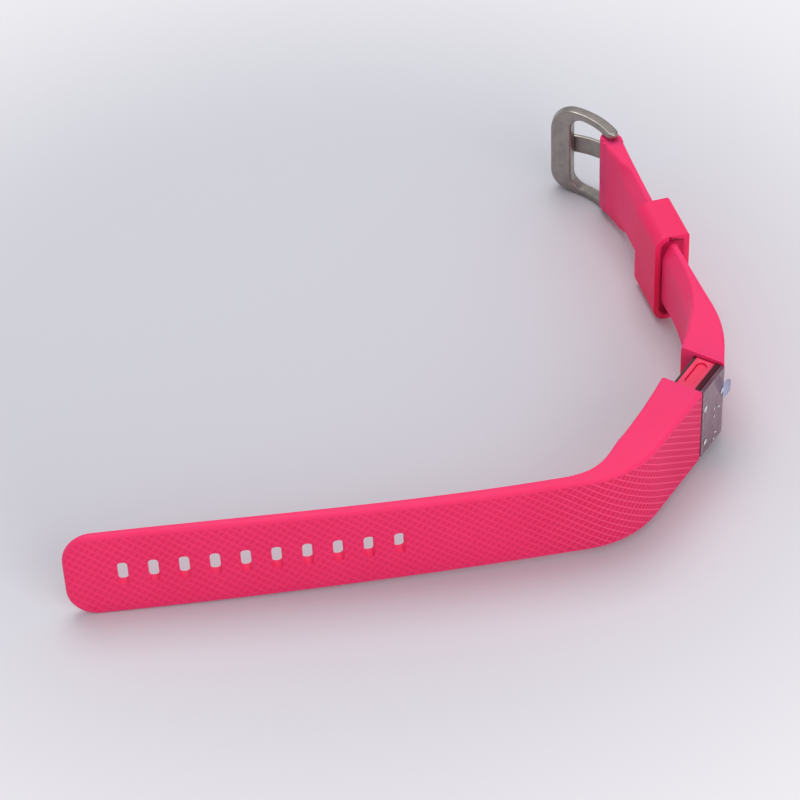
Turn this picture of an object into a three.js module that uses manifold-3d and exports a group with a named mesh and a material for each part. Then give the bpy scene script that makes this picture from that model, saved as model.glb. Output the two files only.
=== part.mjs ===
// A fitness tracker band standing on its long edge: a small display module, a long strap with
// adjustment slots, a short strap with a keeper loop, and a pin buckle on a spring bar.
// Millimetres. X runs along the band at the display, the display faces -Y, and Z is up.
import * as THREE from 'three';
import { mergeVertices } from 'three/addons/utils/BufferGeometryUtils.js';
import Module from 'manifold-3d';

const wasm = await Module();
wasm.setup();

// ---------------------------------------------------------------- driving dimensions
const FULL_HEIGHT = 24; // keeper and buckle, across the band
const STRAP_WIDTH = 20;
const STRAP_LOW = (FULL_HEIGHT - STRAP_WIDTH) / 2;
const STRAP_HIGH = STRAP_LOW + STRAP_WIDTH;
const MIDDLE = FULL_HEIGHT / 2;
const EDGE = 0.6; // chamfer on the straps' long edges
const GAP = 0.3; // running clearance between neighbours

const MOUTH = 5; // half the visible length of the module
const DEPTH = 7.2; // display face to module back
const LIP = 1; // how far the side plates sit below the strap edges

const SLEEVE_THICK = 9.8; // straps at their mouths
const LONG_SLEEVE_END = 8.4;
const THIN = { start: 2.9, tip: 1.9 }; // long strap past its bend
const SLEEVE_RUN = 21;
const LONG_BEND = { radius: 22, turn: 47 };
const LONG_TAIL = 108.5;
const LONG_TAIL_TURN = 5;
const LONG_FLEX = 43; // where the long strap's bending is gathered
const LONG_LEAN = { from: 45, to: 135, degrees: 6.5 }; // the tail's top edge leans to the wrist
const TIP_RADIUS = 6.5;

const BUCKLE_LEAD = { length: 6, heading: 27 };
const BUCKLE_BEND = { radius: 34, turn: 23.5 };
const BUCKLE_TAIL = 62;
const BUCKLE_TAIL_TURN = -5.2;
const BUCKLE_THIN = 3.2;
const BUCKLE_TAPER_END = 36;
const BUCKLE_FLEX = 30;
const BARREL_THICK = 4.8;
const BARREL_RUN = 9;

const FLEX_IN = 40; // degrees that a strap may curl towards the wrist
const SLOT = { count: 10, along: 2.1, across: 5.5, pitch: 6.3, first: 12, radius: 0.8 };
const TROUGH = { from: 6, to: 13.5, depth: 2, cheek: 1.8 };

const KEEPER = { length: 13.2, thick: 8, wall: 1.3, along: 48, centre: 0.9 };
const BUCKLE = { radius: 18.3, thick: 2.8, arm: 1.8, window: 37.8, end: 54, rest: 13 };
const BAR = { tube: 0.9, bore: 0.62, pin: 0.4, collar: 0.55 };
const TONGUE = {
  width: 4.8, thick: 1, ring: 1.7, bore: 1.05, play: 0.15,
  shape: [[0.8, -0.9], [3.2, -4.6], [10, -2.6]], // from the bar, up over the frame
};

// ---------------------------------------------------------------- finishes
const finish = (color, roughness, metalness) =>
  new THREE.MeshStandardMaterial({ color, roughness, metalness });
const FINISH = {
  silicone: finish(0xff3a66, 0.6, 0),
  sidePlate: finish(0xf52e5c, 0.45, 0),
  blackPlastic: finish(0x17161a, 0.4, 0),
  glass: finish(0x2a2028, 0.08, 0),
  film: finish(0xb9c6e8, 0.2, 0),
  board: finish(0x1d5a34, 0.5, 0),
  chip: finish(0x202022, 0.5, 0),
  cell: finish(0xb8bcc2, 0.35, 0.6),
  steel: finish(0x9a958e, 0.35, 1),
  gold: finish(0xd8a850, 0.3, 1),
};

// ---------------------------------------------------------------- solids
/** A closed geometry as a manifold solid. */
function solid(geometry) {
  geometry.deleteAttribute('normal');
  geometry.deleteAttribute('uv');
  const merged = mergeVertices(geometry, 1e-4);
  const vertProperties = new Float32Array(merged.getAttribute('position').array);
  const triVerts = new Uint32Array(merged.getIndex().array);
  return new wasm.Manifold(new wasm.Mesh({ numProp: 3, vertProperties, triVerts }));
}

/** A manifold solid as a named mesh. */
function piece(name, body, material) {
  const { vertProperties, triVerts } = body.getMesh();
  const geometry = new THREE.BufferGeometry();
  geometry.setAttribute('position', new THREE.BufferAttribute(new Float32Array(vertProperties), 3));
  geometry.setIndex(new THREE.BufferAttribute(new Uint32Array(triVerts), 1));
  geometry.computeVertexNormals();
  const mesh = new THREE.Mesh(geometry, material);
  mesh.name = name;
  return mesh;
}

/** A plan outline raised from z low to z high, with an optional chamfer on both rims. */
function raise(shape, low, high, chamfer = 0, curveSegments = 6) {
  const geometry = new THREE.ExtrudeGeometry(shape, {
    depth: high - low - 2 * chamfer,
    bevelEnabled: chamfer > 0,
    bevelThickness: chamfer,
    bevelSize: chamfer,
    bevelOffset: -chamfer,
    bevelSegments: 1,
    curveSegments,
  });
  geometry.translate(0, 0, low + chamfer);
  return geometry;
}

/** A front outline (x, z) pushed back from y near to y far. */
function push(shape, near, far, chamfer = 0, curveSegments = 6) {
  const geometry = raise(shape, near, far, chamfer, curveSegments);
  return geometry.applyMatrix4(
    new THREE.Matrix4().makeBasis(
      new THREE.Vector3(-1, 0, 0), new THREE.Vector3(0, 0, 1), new THREE.Vector3(0, 1, 0)),
  );
}

/** A box from its low and high corners. */
function box(low, high) {
  const size = high.map((value, axis) => value - low[axis]);
  const geometry = new THREE.BoxGeometry(...size);
  geometry.translate(...low.map((value, axis) => value + size[axis] / 2));
  return solid(geometry);
}

/** A round bar along Z. */
function bar(x, y, radius, low, high, sides = 16) {
  const geometry = new THREE.CylinderGeometry(radius, radius, high - low, sides);
  geometry.rotateX(Math.PI / 2);
  geometry.translate(x, y, (low + high) / 2);
  return solid(geometry);
}

/** A round bar along Y. */
function peg(x, z, radius, near, far, sides = 12) {
  const geometry = new THREE.CylinderGeometry(radius, radius, far - near, sides);
  geometry.translate(x, (near + far) / 2, z);
  return solid(geometry);
}

/** A rectangle with its own radius at each corner: low-left, low-right, high-right, high-left. */
function roundedRect(left, bottom, right, top, radii) {
  const [a, b, c, d] = Array.isArray(radii) ? radii : [radii, radii, radii, radii];
  const quarter = Math.PI / 2;
  const shape = new THREE.Shape();
  shape.moveTo(left + a, bottom);
  shape.absarc(right - b, bottom + b, b, -quarter, 0, false);
  shape.absarc(right - c, top - c, c, 0, quarter, false);
  shape.absarc(left + d, top - d, d, quarter, 2 * quarter, false);
  shape.absarc(left + a, bottom + a, a, 2 * quarter, 3 * quarter, false);
  return shape;
}

/** An outline in (along, z) pushed both ways through the strap, at a place on a track. */
function across(shape, place, reach) {
  const geometry = new THREE.ExtrudeGeometry(shape, {
    depth: 2 * reach, bevelEnabled: false, curveSegments: 4,
  });
  geometry.translate(0, 0, -reach);
  const along = new THREE.Vector3(Math.cos(place.heading), Math.sin(place.heading), 0);
  const up = new THREE.Vector3(0, 0, 1);
  const through = new THREE.Vector3().crossVectors(along, up);
  geometry.applyMatrix4(new THREE.Matrix4().makeBasis(along, up, through));
  return solid(geometry.translate(place.x, place.y, 0));
}

// ---------------------------------------------------------------- strap tracks
/** The outer face of a strap in plan, as stretches of even curvature from the module outwards. */
class Track {
  constructor(x, y, headingDegrees, wristSide) {
    this.start = { x, y, heading: THREE.MathUtils.degToRad(headingDegrees) };
    this.wristSide = wristSide;
    this.stretches = [];
  }

  /** Adds a stretch that turns towards the wrist by so many degrees. */
  add(length, turnDegrees = 0) {
    this.stretches.push({ length, turn: THREE.MathUtils.degToRad(turnDegrees) * this.wristSide });
    return this;
  }

  /** The place, heading and wrist-side normal at a distance along the outer face. */
  at(distance) {
    let { x, y, heading } = this.start;
    let left = distance;
    this.stretches.forEach((stretch, index) => {
      const last = index === this.stretches.length - 1;
      const run = last ? left : Math.min(left, stretch.length);
      const turn = (stretch.turn * run) / stretch.length;
      const chord = turn === 0 ? run : (2 * run * Math.sin(turn / 2)) / turn;
      x += chord * Math.cos(heading + turn / 2);
      y += chord * Math.sin(heading + turn / 2);
      heading += turn;
      left -= run;
    });
    const nx = -Math.sin(heading) * this.wristSide;
    const ny = Math.cos(heading) * this.wristSide;
    return { x, y, heading, nx, ny };
  }

  /** A place some depth under the outer face. */
  under(distance, depth) {
    const place = this.at(distance);
    return { ...place, x: place.x + depth * place.nx, y: place.y + depth * place.ny };
  }
}

const smooth = (value, low, high) => THREE.MathUtils.smoothstep(value, low, high);
const arcLength = ({ radius, turn }) => radius * THREE.MathUtils.degToRad(turn);

const longTrack = new Track(-MOUTH, 0, 180, -1)
  .add(SLEEVE_RUN - 2)
  .add(arcLength(LONG_BEND), LONG_BEND.turn)
  .add(LONG_TAIL, LONG_TAIL_TURN);
const longLength = SLEEVE_RUN - 2 + arcLength(LONG_BEND) + LONG_TAIL;

const buckleTrack = new Track(MOUTH, 0.2, BUCKLE_LEAD.heading, 1)
  .add(BUCKLE_LEAD.length)
  .add(arcLength(BUCKLE_BEND), BUCKLE_BEND.turn)
  .add(BUCKLE_TAIL, BUCKLE_TAIL_TURN);
const buckleLength = BUCKLE_LEAD.length + arcLength(BUCKLE_BEND) + BUCKLE_TAIL;

/** Thickness of the long strap: a sleeve, a taper through the bend, then a thin tail. */
function longThickness(distance) {
  const taper = smooth(distance, SLEEVE_RUN, 2 * SLEEVE_RUN);
  const mouth = Math.max(0, 1 - distance / SLEEVE_RUN);
  const sleeve = LONG_SLEEVE_END + (SLEEVE_THICK - LONG_SLEEVE_END) * mouth * mouth;
  const run = Math.max(0, distance - 2 * SLEEVE_RUN) / (longLength - 2 * SLEEVE_RUN);
  const tail = THIN.start + (THIN.tip - THIN.start) * run;
  return sleeve * (1 - taper) + tail * taper;
}

/** Thickness of the buckle strap: one long taper, then a swelling round the spring bar. */
function buckleThickness(distance) {
  const taper = smooth(distance, -2, BUCKLE_TAPER_END);
  const barrel = smooth(distance, buckleLength - BARREL_RUN, buckleLength - 1);
  const strap = SLEEVE_THICK * (1 - taper) + BUCKLE_THIN * taper;
  return strap * (1 - barrel) + BARREL_THICK * barrel;
}

/** Plan outline of a strap between two distances, with a half-round far end if asked. */
function strapOutline(track, thickness, from, to, step, roundEnd = false) {
  const count = Math.max(2, Math.round((to - from) / step));
  const outer = [];
  const inner = [];
  for (let index = 0; index <= count; index += 1) {
    const distance = from + ((to - from) * index) / count;
    const near = track.at(distance);
    const far = track.under(distance, thickness(distance));
    outer.push(new THREE.Vector2(near.x, near.y));
    inner.unshift(new THREE.Vector2(far.x, far.y));
  }
  const cap = [];
  if (roundEnd) {
    const radius = thickness(to) / 2;
    const centre = track.under(to, radius);
    for (let index = 1; index < 8; index += 1) {
      const angle = (Math.PI * index) / 8 - Math.PI / 2;
      const ahead = radius * Math.cos(angle);
      const side = radius * Math.sin(angle);
      cap.push(new THREE.Vector2(
        centre.x + ahead * Math.cos(centre.heading) + side * centre.nx,
        centre.y + ahead * Math.sin(centre.heading) + side * centre.ny,
      ));
    }
  }
  return new THREE.Shape([...outer, ...cap, ...inner]);
}

/** A stretch of strap as a solid. */
function strap(track, thickness, from, to, step, roundEnd = false) {
  const shape = strapOutline(track, thickness, from, to, step, roundEnd);
  return solid(raise(shape, STRAP_LOW, STRAP_HIGH, EDGE));
}

/** The round relief that lets a strap's tail turn on the rounded end of its root. */
function flexRelief(track, thickness, distance) {
  const half = thickness(distance) / 2;
  const centre = track.under(distance, half);
  const radius = half / Math.cos(THREE.MathUtils.degToRad(FLEX_IN)) + 0.1;
  return bar(centre.x, centre.y, radius, 0, FULL_HEIGHT, 24);
}

// ---------------------------------------------------------------- display module
const HOUSING = { left: -10, right: 4.9, front: 2.2, back: 6.6, low: 4.5, high: 19.5 };
const WALL = 0.8;
const KEY = { x: 0.35, y: 4.5, length: 7.3, width: 2.4, play: 0.12, top: 20.55, bottom: 20 };
const SCREWS = [[-8.2, 6.3], [3.1, 6.3], [3.1, 17.7], [-8.2, 17.7]];
const PLUG = { left: -22, front: 3.6, back: 5.6, low: 6, high: 18 };
const LATCH = { right: 11.2, front: 4.9, low: 5, high: 19 };

function buildHousing() {
  const { left, right, front, back, low, high } = HOUSING;
  let body = box([left, front, low], [right, back, high])
    .add(box([right - 0.5, LATCH.front, LATCH.low], [LATCH.right, back, LATCH.high]))
    .subtract(box([left + WALL, front + 1, low + WALL], [right - WALL, back + 1, high - WALL]))
    .subtract(box([-1.5, front - 1, 10], [1.5, front + 2, 14]))
    .subtract(box([left - 1, 4, 6.8], [left + 2, 5.2, 17.2]));
  for (const [x, z] of SCREWS) {
    body = body.add(peg(x, z, 1.15, front + 0.5, back - 0.2));
  }
  for (const [x, z] of SCREWS) {
    body = body.subtract(peg(x, z, 0.5, 4, back + 1));
  }
  return body.subtract(bar(KEY.x, KEY.y, 1, high - 2, high + 1));
}

function buildBackCover() {
  const edge = MOUTH - 0.2;
  const low = STRAP_LOW + LIP + 0.1;
  const high = STRAP_HIGH - LIP - 0.1;
  let cover = box([-edge, HOUSING.back + 0.1, low], [edge, DEPTH, high])
    .add(box([HOUSING.left, HOUSING.back + 0.1, HOUSING.low], [0, DEPTH, HOUSING.high]));
  for (const [x, z] of SCREWS) {
    cover = cover
      .subtract(peg(x, z, 0.5, HOUSING.back - 1, DEPTH + 1))
      .subtract(peg(x, z, 1, DEPTH - 0.4, DEPTH + 1));
  }
  return cover;
}

function buildSidePlate(low, high) {
  const shape = roundedRect(-MOUTH + 0.2, 2.2, MOUTH - 0.1, 6.65, 0.2);
  return solid(raise(shape, low, high, 0, 2));
}

function stadium(length, width) {
  const { x, y } = KEY;
  return roundedRect(x - length / 2, y - width / 2, x + length / 2, y + width / 2, width / 2 - 0.01);
}

function buildFilm() {
  const film = box([-4.7, -0.16, 2.7], [4.7, -0.04, 21.3]);
  const lift = new THREE.Shape();
  lift.moveTo(4.2, -0.04);
  lift.quadraticCurveTo(5.3, -0.1, 4.35, -1.95);
  lift.lineTo(4.25, -1.9);
  lift.quadraticCurveTo(4.9, -0.26, 4.2, -0.16);
  return film.add(solid(raise(lift, 12.2, 18, 0, 5)));
}

const module = new THREE.Group();
module.add(piece('core_housing', buildHousing(), FINISH.blackPlastic));
module.add(piece('back_cover', buildBackCover(), FINISH.blackPlastic));
const bezelOuter = roundedRect(-4.9, 2.5, 4.9, 21.5, 0.3);
const bezel = solid(push(bezelOuter, 1, 2.1)).subtract(box([-3.6, 0, 5], [3.6, 3, 19]));
module.add(piece('display_bezel', bezel, FINISH.blackPlastic));
const glass = solid(push(roundedRect(-4.85, 2.55, 4.85, 21.45, 0.3), 0, 0.9, 0.1, 2));
module.add(piece('display_glass', glass, FINISH.glass));
module.add(piece('screen_film', buildFilm(), FINISH.film));
module.add(piece('oled_panel', box([-3.4, 1.1, 5.3], [3.4, 1.9, 18.7]), FINISH.glass));
module.add(piece('circuit_board', box([-8.3, 3.6, 7.6], [3.9, 4.1, 16.4]), FINISH.board));
module.add(piece('processor_chip', box([-6, 4.2, 10], [-2, 4.9, 14]), FINISH.chip));
module.add(piece('battery_cell', box([-7.4, 5, 7.7], [0.6, 6.4, 16.3]), FINISH.cell));
module.add(piece('vibration_motor', bar(2.2, 5.3, 0.9, 8, 13, 12), FINISH.steel));
const tact = box([-1.1, 3.7, 16.7], [1.8, 5.3, 17.9]).add(bar(KEY.x, KEY.y, 0.5, 17.8, 18.35, 10));
module.add(piece('tact_switch', tact, FINISH.chip));
const upperPlate = buildSidePlate(HOUSING.high + 0.1, STRAP_HIGH - LIP)
  .subtract(solid(raise(stadium(KEY.length, KEY.width), HOUSING.high - 1, STRAP_HIGH, 0, 5)));
module.add(piece('button_side_plate', upperPlate, FINISH.sidePlate));
const lowerPlate = buildSidePlate(STRAP_LOW + LIP, HOUSING.low - 0.1);
module.add(piece('plain_side_plate', lowerPlate, FINISH.sidePlate));
const keyShape = stadium(KEY.length - 2 * KEY.play, KEY.width - 2 * KEY.play);
const key = solid(raise(keyShape, KEY.bottom, KEY.top, 0, 5))
  .add(bar(KEY.x, KEY.y, 0.8, 18.85, KEY.bottom + 0.2, 12));
module.add(piece('side_button', key, FINISH.sidePlate));
const plug = box([PLUG.left, PLUG.front, PLUG.low], [HOUSING.left - 0.15, PLUG.back, PLUG.high])
  .add(box([HOUSING.left - 1, 4.2, 7.6], [HOUSING.left + 1.5, 5, 16.4]));
module.add(piece('usb_contact_tongue', plug, FINISH.blackPlastic));
[7.6, 10.1, 12.6, 15.1].forEach((low, index) => {
  const pad = box([PLUG.left + 0.8, PLUG.front - 0.15, low], [PLUG.left + 7.8, PLUG.front, low + 1.3]);
  module.add(piece(`contact_pad_${index + 1}`, pad, FINISH.gold));
});
SCREWS.forEach(([x, z], index) => {
  const screw = peg(x, z, 0.85, DEPTH - 0.38, DEPTH - 0.05).add(peg(x, z, 0.4, 4.3, DEPTH - 0.2));
  module.add(piece(`cover_screw_${index + 1}`, screw, FINISH.steel));
});

// ---------------------------------------------------------------- long strap
/** The room inside a strap's mouth that takes the module's edge. */
function mouthRoom(nearX, farX, front) {
  const low = [Math.min(nearX, farX), front, STRAP_LOW + LIP];
  const high = [Math.max(nearX, farX), DEPTH + 0.5, STRAP_HIGH - LIP];
  return box(low, high);
}

function buildLongRoot() {
  const { left, front, low, high } = HOUSING;
  return strap(longTrack, longThickness, 0, LONG_FLEX, 2.4, true)
    .subtract(mouthRoom(-MOUTH + 1, -MOUTH - 1.6, 1.2))
    .subtract(box([left - 0.5, front - GAP, low - GAP], [0, DEPTH + GAP, high + GAP]))
    .subtract(box(
      [PLUG.left - 0.6, PLUG.front - 0.5, PLUG.low - GAP],
      [0, PLUG.back + GAP, PLUG.high + GAP],
    ));
}

/** Leans the tail's upper edge towards the wrist, more and more towards its tip. */
function lean(geometry) {
  const root = longTrack.at(LONG_FLEX);
  const tip = longTrack.at(longLength);
  const chord = new THREE.Vector2(tip.x - root.x, tip.y - root.y).normalize();
  const position = geometry.getAttribute('position');
  for (let index = 0; index < position.count; index += 1) {
    const x = position.getX(index);
    const y = position.getY(index);
    const distance = LONG_FLEX + (x - root.x) * chord.x + (y - root.y) * chord.y;
    const share = smooth(distance, LONG_LEAN.from, LONG_LEAN.to);
    const angle = THREE.MathUtils.degToRad(LONG_LEAN.degrees * share);
    const shift = (position.getZ(index) - STRAP_LOW) * Math.tan(angle);
    position.setXY(index, x + shift * tip.nx, y + shift * tip.ny);
  }
  return geometry;
}

function buildLongTail() {
  const tip = longTrack.at(longLength);
  const reach = 60;
  const outline = roundedRect(-3 * reach, STRAP_LOW, 0, STRAP_HIGH, [1, TIP_RADIUS, TIP_RADIUS, 1]);
  const plan = strapOutline(longTrack, longThickness, LONG_FLEX, longLength, 6.3);
  let tail = solid(lean(raise(plan, STRAP_LOW, STRAP_HIGH, EDGE)))
    .subtract(flexRelief(longTrack, longThickness, LONG_FLEX))
    .intersect(across(outline, tip, reach));
  const half = SLOT.across / 2;
  const opening = roundedRect(
    -SLOT.along / 2, MIDDLE - half, SLOT.along / 2, MIDDLE + half, SLOT.radius);
  for (let index = 0; index < SLOT.count; index += 1) {
    const place = longTrack.at(longLength - SLOT.first - SLOT.pitch * index);
    tail = tail.subtract(across(opening, place, 5));
  }
  return tail;
}

const longStrap = new THREE.Group();
longStrap.add(piece('long_strap_root', buildLongRoot(), FINISH.silicone));
longStrap.add(piece('long_strap_tail', buildLongTail(), FINISH.silicone));

// ---------------------------------------------------------------- buckle strap
const hinge = { ...buckleTrack.under(buckleLength, BARREL_THICK / 2), depth: BARREL_THICK / 2 };

/** The scoop in the wrist face between a thin cheek at each edge, as a bar of waste. */
function buildTrough() {
  const count = 6;
  const roof = [];
  const floor = [];
  for (let index = 0; index <= count; index += 1) {
    const distance = TROUGH.from + ((TROUGH.to - TROUGH.from) * index) / count;
    const depth = buckleThickness(distance) - TROUGH.depth;
    const low = buckleTrack.under(distance, depth);
    const high = buckleTrack.under(distance, depth + 2 * TROUGH.depth);
    floor.push(new THREE.Vector2(low.x, low.y));
    roof.unshift(new THREE.Vector2(high.x, high.y));
  }
  const shape = new THREE.Shape([...floor, ...roof]);
  return solid(raise(shape, STRAP_LOW + TROUGH.cheek, STRAP_HIGH - TROUGH.cheek, 0.5));
}

function buildBuckleRoot() {
  return strap(buckleTrack, buckleThickness, 0, BUCKLE_FLEX, 2.4, true)
    .subtract(box([-MOUTH, -5, 0], [MOUTH, 20, FULL_HEIGHT]))
    .subtract(mouthRoom(MOUTH - 1, MOUTH + 1.6, 2.2))
    .subtract(box(
      [MOUTH - 1, LATCH.front - GAP, LATCH.low - GAP],
      [LATCH.right + 0.5, HOUSING.back + GAP, LATCH.high + GAP],
    ))
    .subtract(buildTrough());
}

function buildBuckleTail() {
  const half = TONGUE.width / 2 + 0.4;
  const notch = roundedRect(-3.2, MIDDLE - half, 6, MIDDLE + half, 0.5);
  const reach = 6;
  const skin = hinge.depth + TONGUE.ring + TONGUE.play;
  return strap(buckleTrack, buckleThickness, BUCKLE_FLEX, buckleLength, 3.4, true)
    .subtract(flexRelief(buckleTrack, buckleThickness, BUCKLE_FLEX))
    .subtract(across(notch, buckleTrack.under(buckleLength, skin - reach), reach))
    .subtract(bar(hinge.x, hinge.y, BAR.tube + 0.2, 0, FULL_HEIGHT));
}

const buckleStrap = new THREE.Group();
buckleStrap.add(piece('buckle_strap_root', buildBuckleRoot(), FINISH.silicone));
buckleStrap.add(piece('buckle_strap_tail', buildBuckleTail(), FINISH.silicone));

// ---------------------------------------------------------------- keeper loop
function buildKeeper() {
  const half = KEEPER.thick / 2;
  const { wall } = KEEPER;
  const loop = roundedRect(-half, 0, half, FULL_HEIGHT, [0.8, 2.5, 2.5, 0.8]);
  loop.holes.push(
    roundedRect(-half + wall, wall, half - wall, FULL_HEIGHT - wall, [0.4, 1.2, 1.2, 0.4]));
  const geometry = raise(loop, -KEEPER.length / 2, KEEPER.length / 2, 0.3, 4);
  // Outline x runs towards the wrist, outline y is up, and the length lies along the strap.
  geometry.applyMatrix4(new THREE.Matrix4().makeBasis(
    new THREE.Vector3(0, 1, 0), new THREE.Vector3(0, 0, 1), new THREE.Vector3(1, 0, 0)));
  return solid(geometry);
}

const keeper = new THREE.Group();
const keeperPlace = buckleTrack.under(KEEPER.along, KEEPER.centre);
keeper.position.set(keeperPlace.x, keeperPlace.y, 0);
keeper.rotation.z = keeperPlace.heading;
keeper.add(piece('keeper_loop', buildKeeper(), FINISH.silicone));

// ---------------------------------------------------------------- buckle
/** A point of the buckle's arch: an angle round its arc and a distance outside the arc. */
function arch(degrees, outside) {
  const angle = THREE.MathUtils.degToRad(degrees);
  const radius = BUCKLE.radius + outside;
  return new THREE.Vector2(radius * Math.sin(angle), BUCKLE.radius - radius * Math.cos(angle));
}

function archOutline(from, to, inside, outside, count) {
  const points = [];
  for (let index = 0; index <= count; index += 1) {
    points.push(arch(from + ((to - from) * index) / count, outside));
  }
  for (let index = count; index >= 0; index -= 1) {
    points.push(arch(from + ((to - from) * index) / count, inside));
  }
  return new THREE.Shape(points);
}

function archPlace(degrees) {
  const { x, y } = arch(degrees, 0);
  return { x, y, heading: THREE.MathUtils.degToRad(degrees) };
}

function buildFrame() {
  const half = BUCKLE.thick / 2;
  const { arm } = BUCKLE;
  const reach = 30;
  const outer = roundedRect(-reach, 0, 0, FULL_HEIGHT, [1, 6, 6, 1]);
  const window = roundedRect(-reach, arm, 0, FULL_HEIGHT - arm, [1, 3.5, 3.5, 1]);
  return solid(raise(archOutline(0, BUCKLE.end, -half, half, 9), 0, FULL_HEIGHT, 0.4))
    .add(bar(0, 0, 2, 0, FULL_HEIGHT, 20))
    .intersect(across(outer, archPlace(BUCKLE.end), 20))
    .subtract(across(window, archPlace(BUCKLE.window), 12))
    .subtract(bar(0, 0, BAR.pin + 0.1, arm - 1.1, FULL_HEIGHT - arm + 1.1, 12));
}

/** The tongue: a ring round the bar and a bent blade that lies outside the far bar. */
function buildTongue() {
  const half = TONGUE.thick / 2;
  const tip = arch(BUCKLE.end - 3, BUCKLE.thick / 2 + half + 0.25);
  const curve = new THREE.CubicBezierCurve(...TONGUE.shape.map((xy) => new THREE.Vector2(...xy)), tip);
  const outer = [];
  const inner = [];
  const count = 11;
  for (let index = 0; index <= count; index += 1) {
    const point = curve.getPoint(index / count);
    const along = curve.getTangent(index / count);
    outer.push(new THREE.Vector2(point.x + half * along.y, point.y - half * along.x));
    inner.unshift(new THREE.Vector2(point.x - half * along.y, point.y + half * along.x));
  }
  const low = MIDDLE - TONGUE.width / 2;
  const high = MIDDLE + TONGUE.width / 2;
  return solid(raise(new THREE.Shape([...outer, ...inner]), low, high, 0.2))
    .add(bar(0, 0, TONGUE.ring, low, high, 20))
    .subtract(bar(0, 0, TONGUE.bore, 0, FULL_HEIGHT));
}

function buildTube() {
  const { tube, bore, pin } = BAR;
  const profile = [
    [tube, 2.6], [tube, 21.4], [pin + 0.1, 21.4], [pin + 0.1, 20.8], [bore, 20.8],
    [bore, 3.2], [pin + 0.1, 3.2], [pin + 0.1, 2.6], [tube, 2.6],
  ];
  const geometry = new THREE.LatheGeometry(profile.map(([r, z]) => new THREE.Vector2(r, z)), 16);
  return solid(geometry.rotateX(Math.PI / 2));
}

function buildBarTip(low) {
  const [collar, pin] = low ? [[3.3, 4.8], [1, 3.5]] : [[19.2, 20.7], [20.5, 23]];
  return bar(0, 0, BAR.collar, ...collar, 12).add(bar(0, 0, BAR.pin, ...pin, 12));
}

/** The coil between the two tips. */
class Coil extends THREE.Curve {
  getPoint(t) {
    const turns = 9;
    const angle = 2 * Math.PI * turns * t;
    return new THREE.Vector3(0.42 * Math.cos(angle), 0.42 * Math.sin(angle), 5 + 14 * t);
  }
}

function buildSpring() {
  const wire = new THREE.Shape();
  wire.absarc(0, 0, 0.09, 0, 2 * Math.PI, false);
  return solid(new THREE.ExtrudeGeometry(wire, {
    steps: 72, extrudePath: new Coil(), curveSegments: 5, bevelEnabled: false,
  }));
}

const buckle = new THREE.Group();
buckle.position.set(hinge.x, hinge.y, 0);
buckle.rotation.z = hinge.heading + THREE.MathUtils.degToRad(BUCKLE.rest);
buckle.add(piece('buckle_frame', buildFrame(), FINISH.steel));
buckle.add(piece('buckle_tongue', buildTongue(), FINISH.steel));
buckle.add(piece('spring_bar_tube', buildTube(), FINISH.steel));
buckle.add(piece('spring_bar_spring', buildSpring(), FINISH.steel));
buckle.add(piece('spring_bar_tip_upper', buildBarTip(false), FINISH.steel));
buckle.add(piece('spring_bar_tip_lower', buildBarTip(true), FINISH.steel));

// ---------------------------------------------------------------- the whole band
const band = new THREE.Group();
band.add(module, longStrap, buckleStrap, keeper, buckle);
band.updateMatrixWorld(true);
const bounds = new THREE.Box3().setFromObject(band, true);
const middle = bounds.getCenter(new THREE.Vector3());
band.position.set(-middle.x, -middle.y, -bounds.min.z);

export default band;
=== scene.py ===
"""The finished looks of a silicone fitness tracker band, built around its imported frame."""

import logging
import math
from dataclasses import dataclass, field
from enum import Enum
from typing import Iterable, Optional, Sequence, Union

import bmesh
import bpy
from bmesh.types import BMesh, BMEdge, BMFace, BMVert
from mathutils import Matrix, Vector


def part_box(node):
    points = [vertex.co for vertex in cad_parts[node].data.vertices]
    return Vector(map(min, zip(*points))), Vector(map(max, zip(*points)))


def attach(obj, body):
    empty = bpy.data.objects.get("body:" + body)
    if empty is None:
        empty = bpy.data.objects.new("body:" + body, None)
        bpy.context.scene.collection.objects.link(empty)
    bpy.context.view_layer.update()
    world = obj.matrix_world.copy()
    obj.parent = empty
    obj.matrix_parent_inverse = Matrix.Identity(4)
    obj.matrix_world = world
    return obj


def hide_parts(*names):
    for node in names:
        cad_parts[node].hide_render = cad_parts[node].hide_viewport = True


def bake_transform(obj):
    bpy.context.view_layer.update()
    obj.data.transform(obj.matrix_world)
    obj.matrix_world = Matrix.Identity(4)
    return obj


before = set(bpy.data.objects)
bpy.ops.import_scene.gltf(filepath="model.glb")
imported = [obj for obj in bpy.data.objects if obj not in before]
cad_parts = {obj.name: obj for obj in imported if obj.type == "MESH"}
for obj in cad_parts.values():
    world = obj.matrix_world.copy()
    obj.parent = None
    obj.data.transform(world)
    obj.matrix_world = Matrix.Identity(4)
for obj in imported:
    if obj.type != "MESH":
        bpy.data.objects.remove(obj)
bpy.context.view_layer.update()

LOG = logging.getLogger("band")
MM = 0.001

Number = Union[float, int]
Colour = tuple[float, float, float, float]


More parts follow.
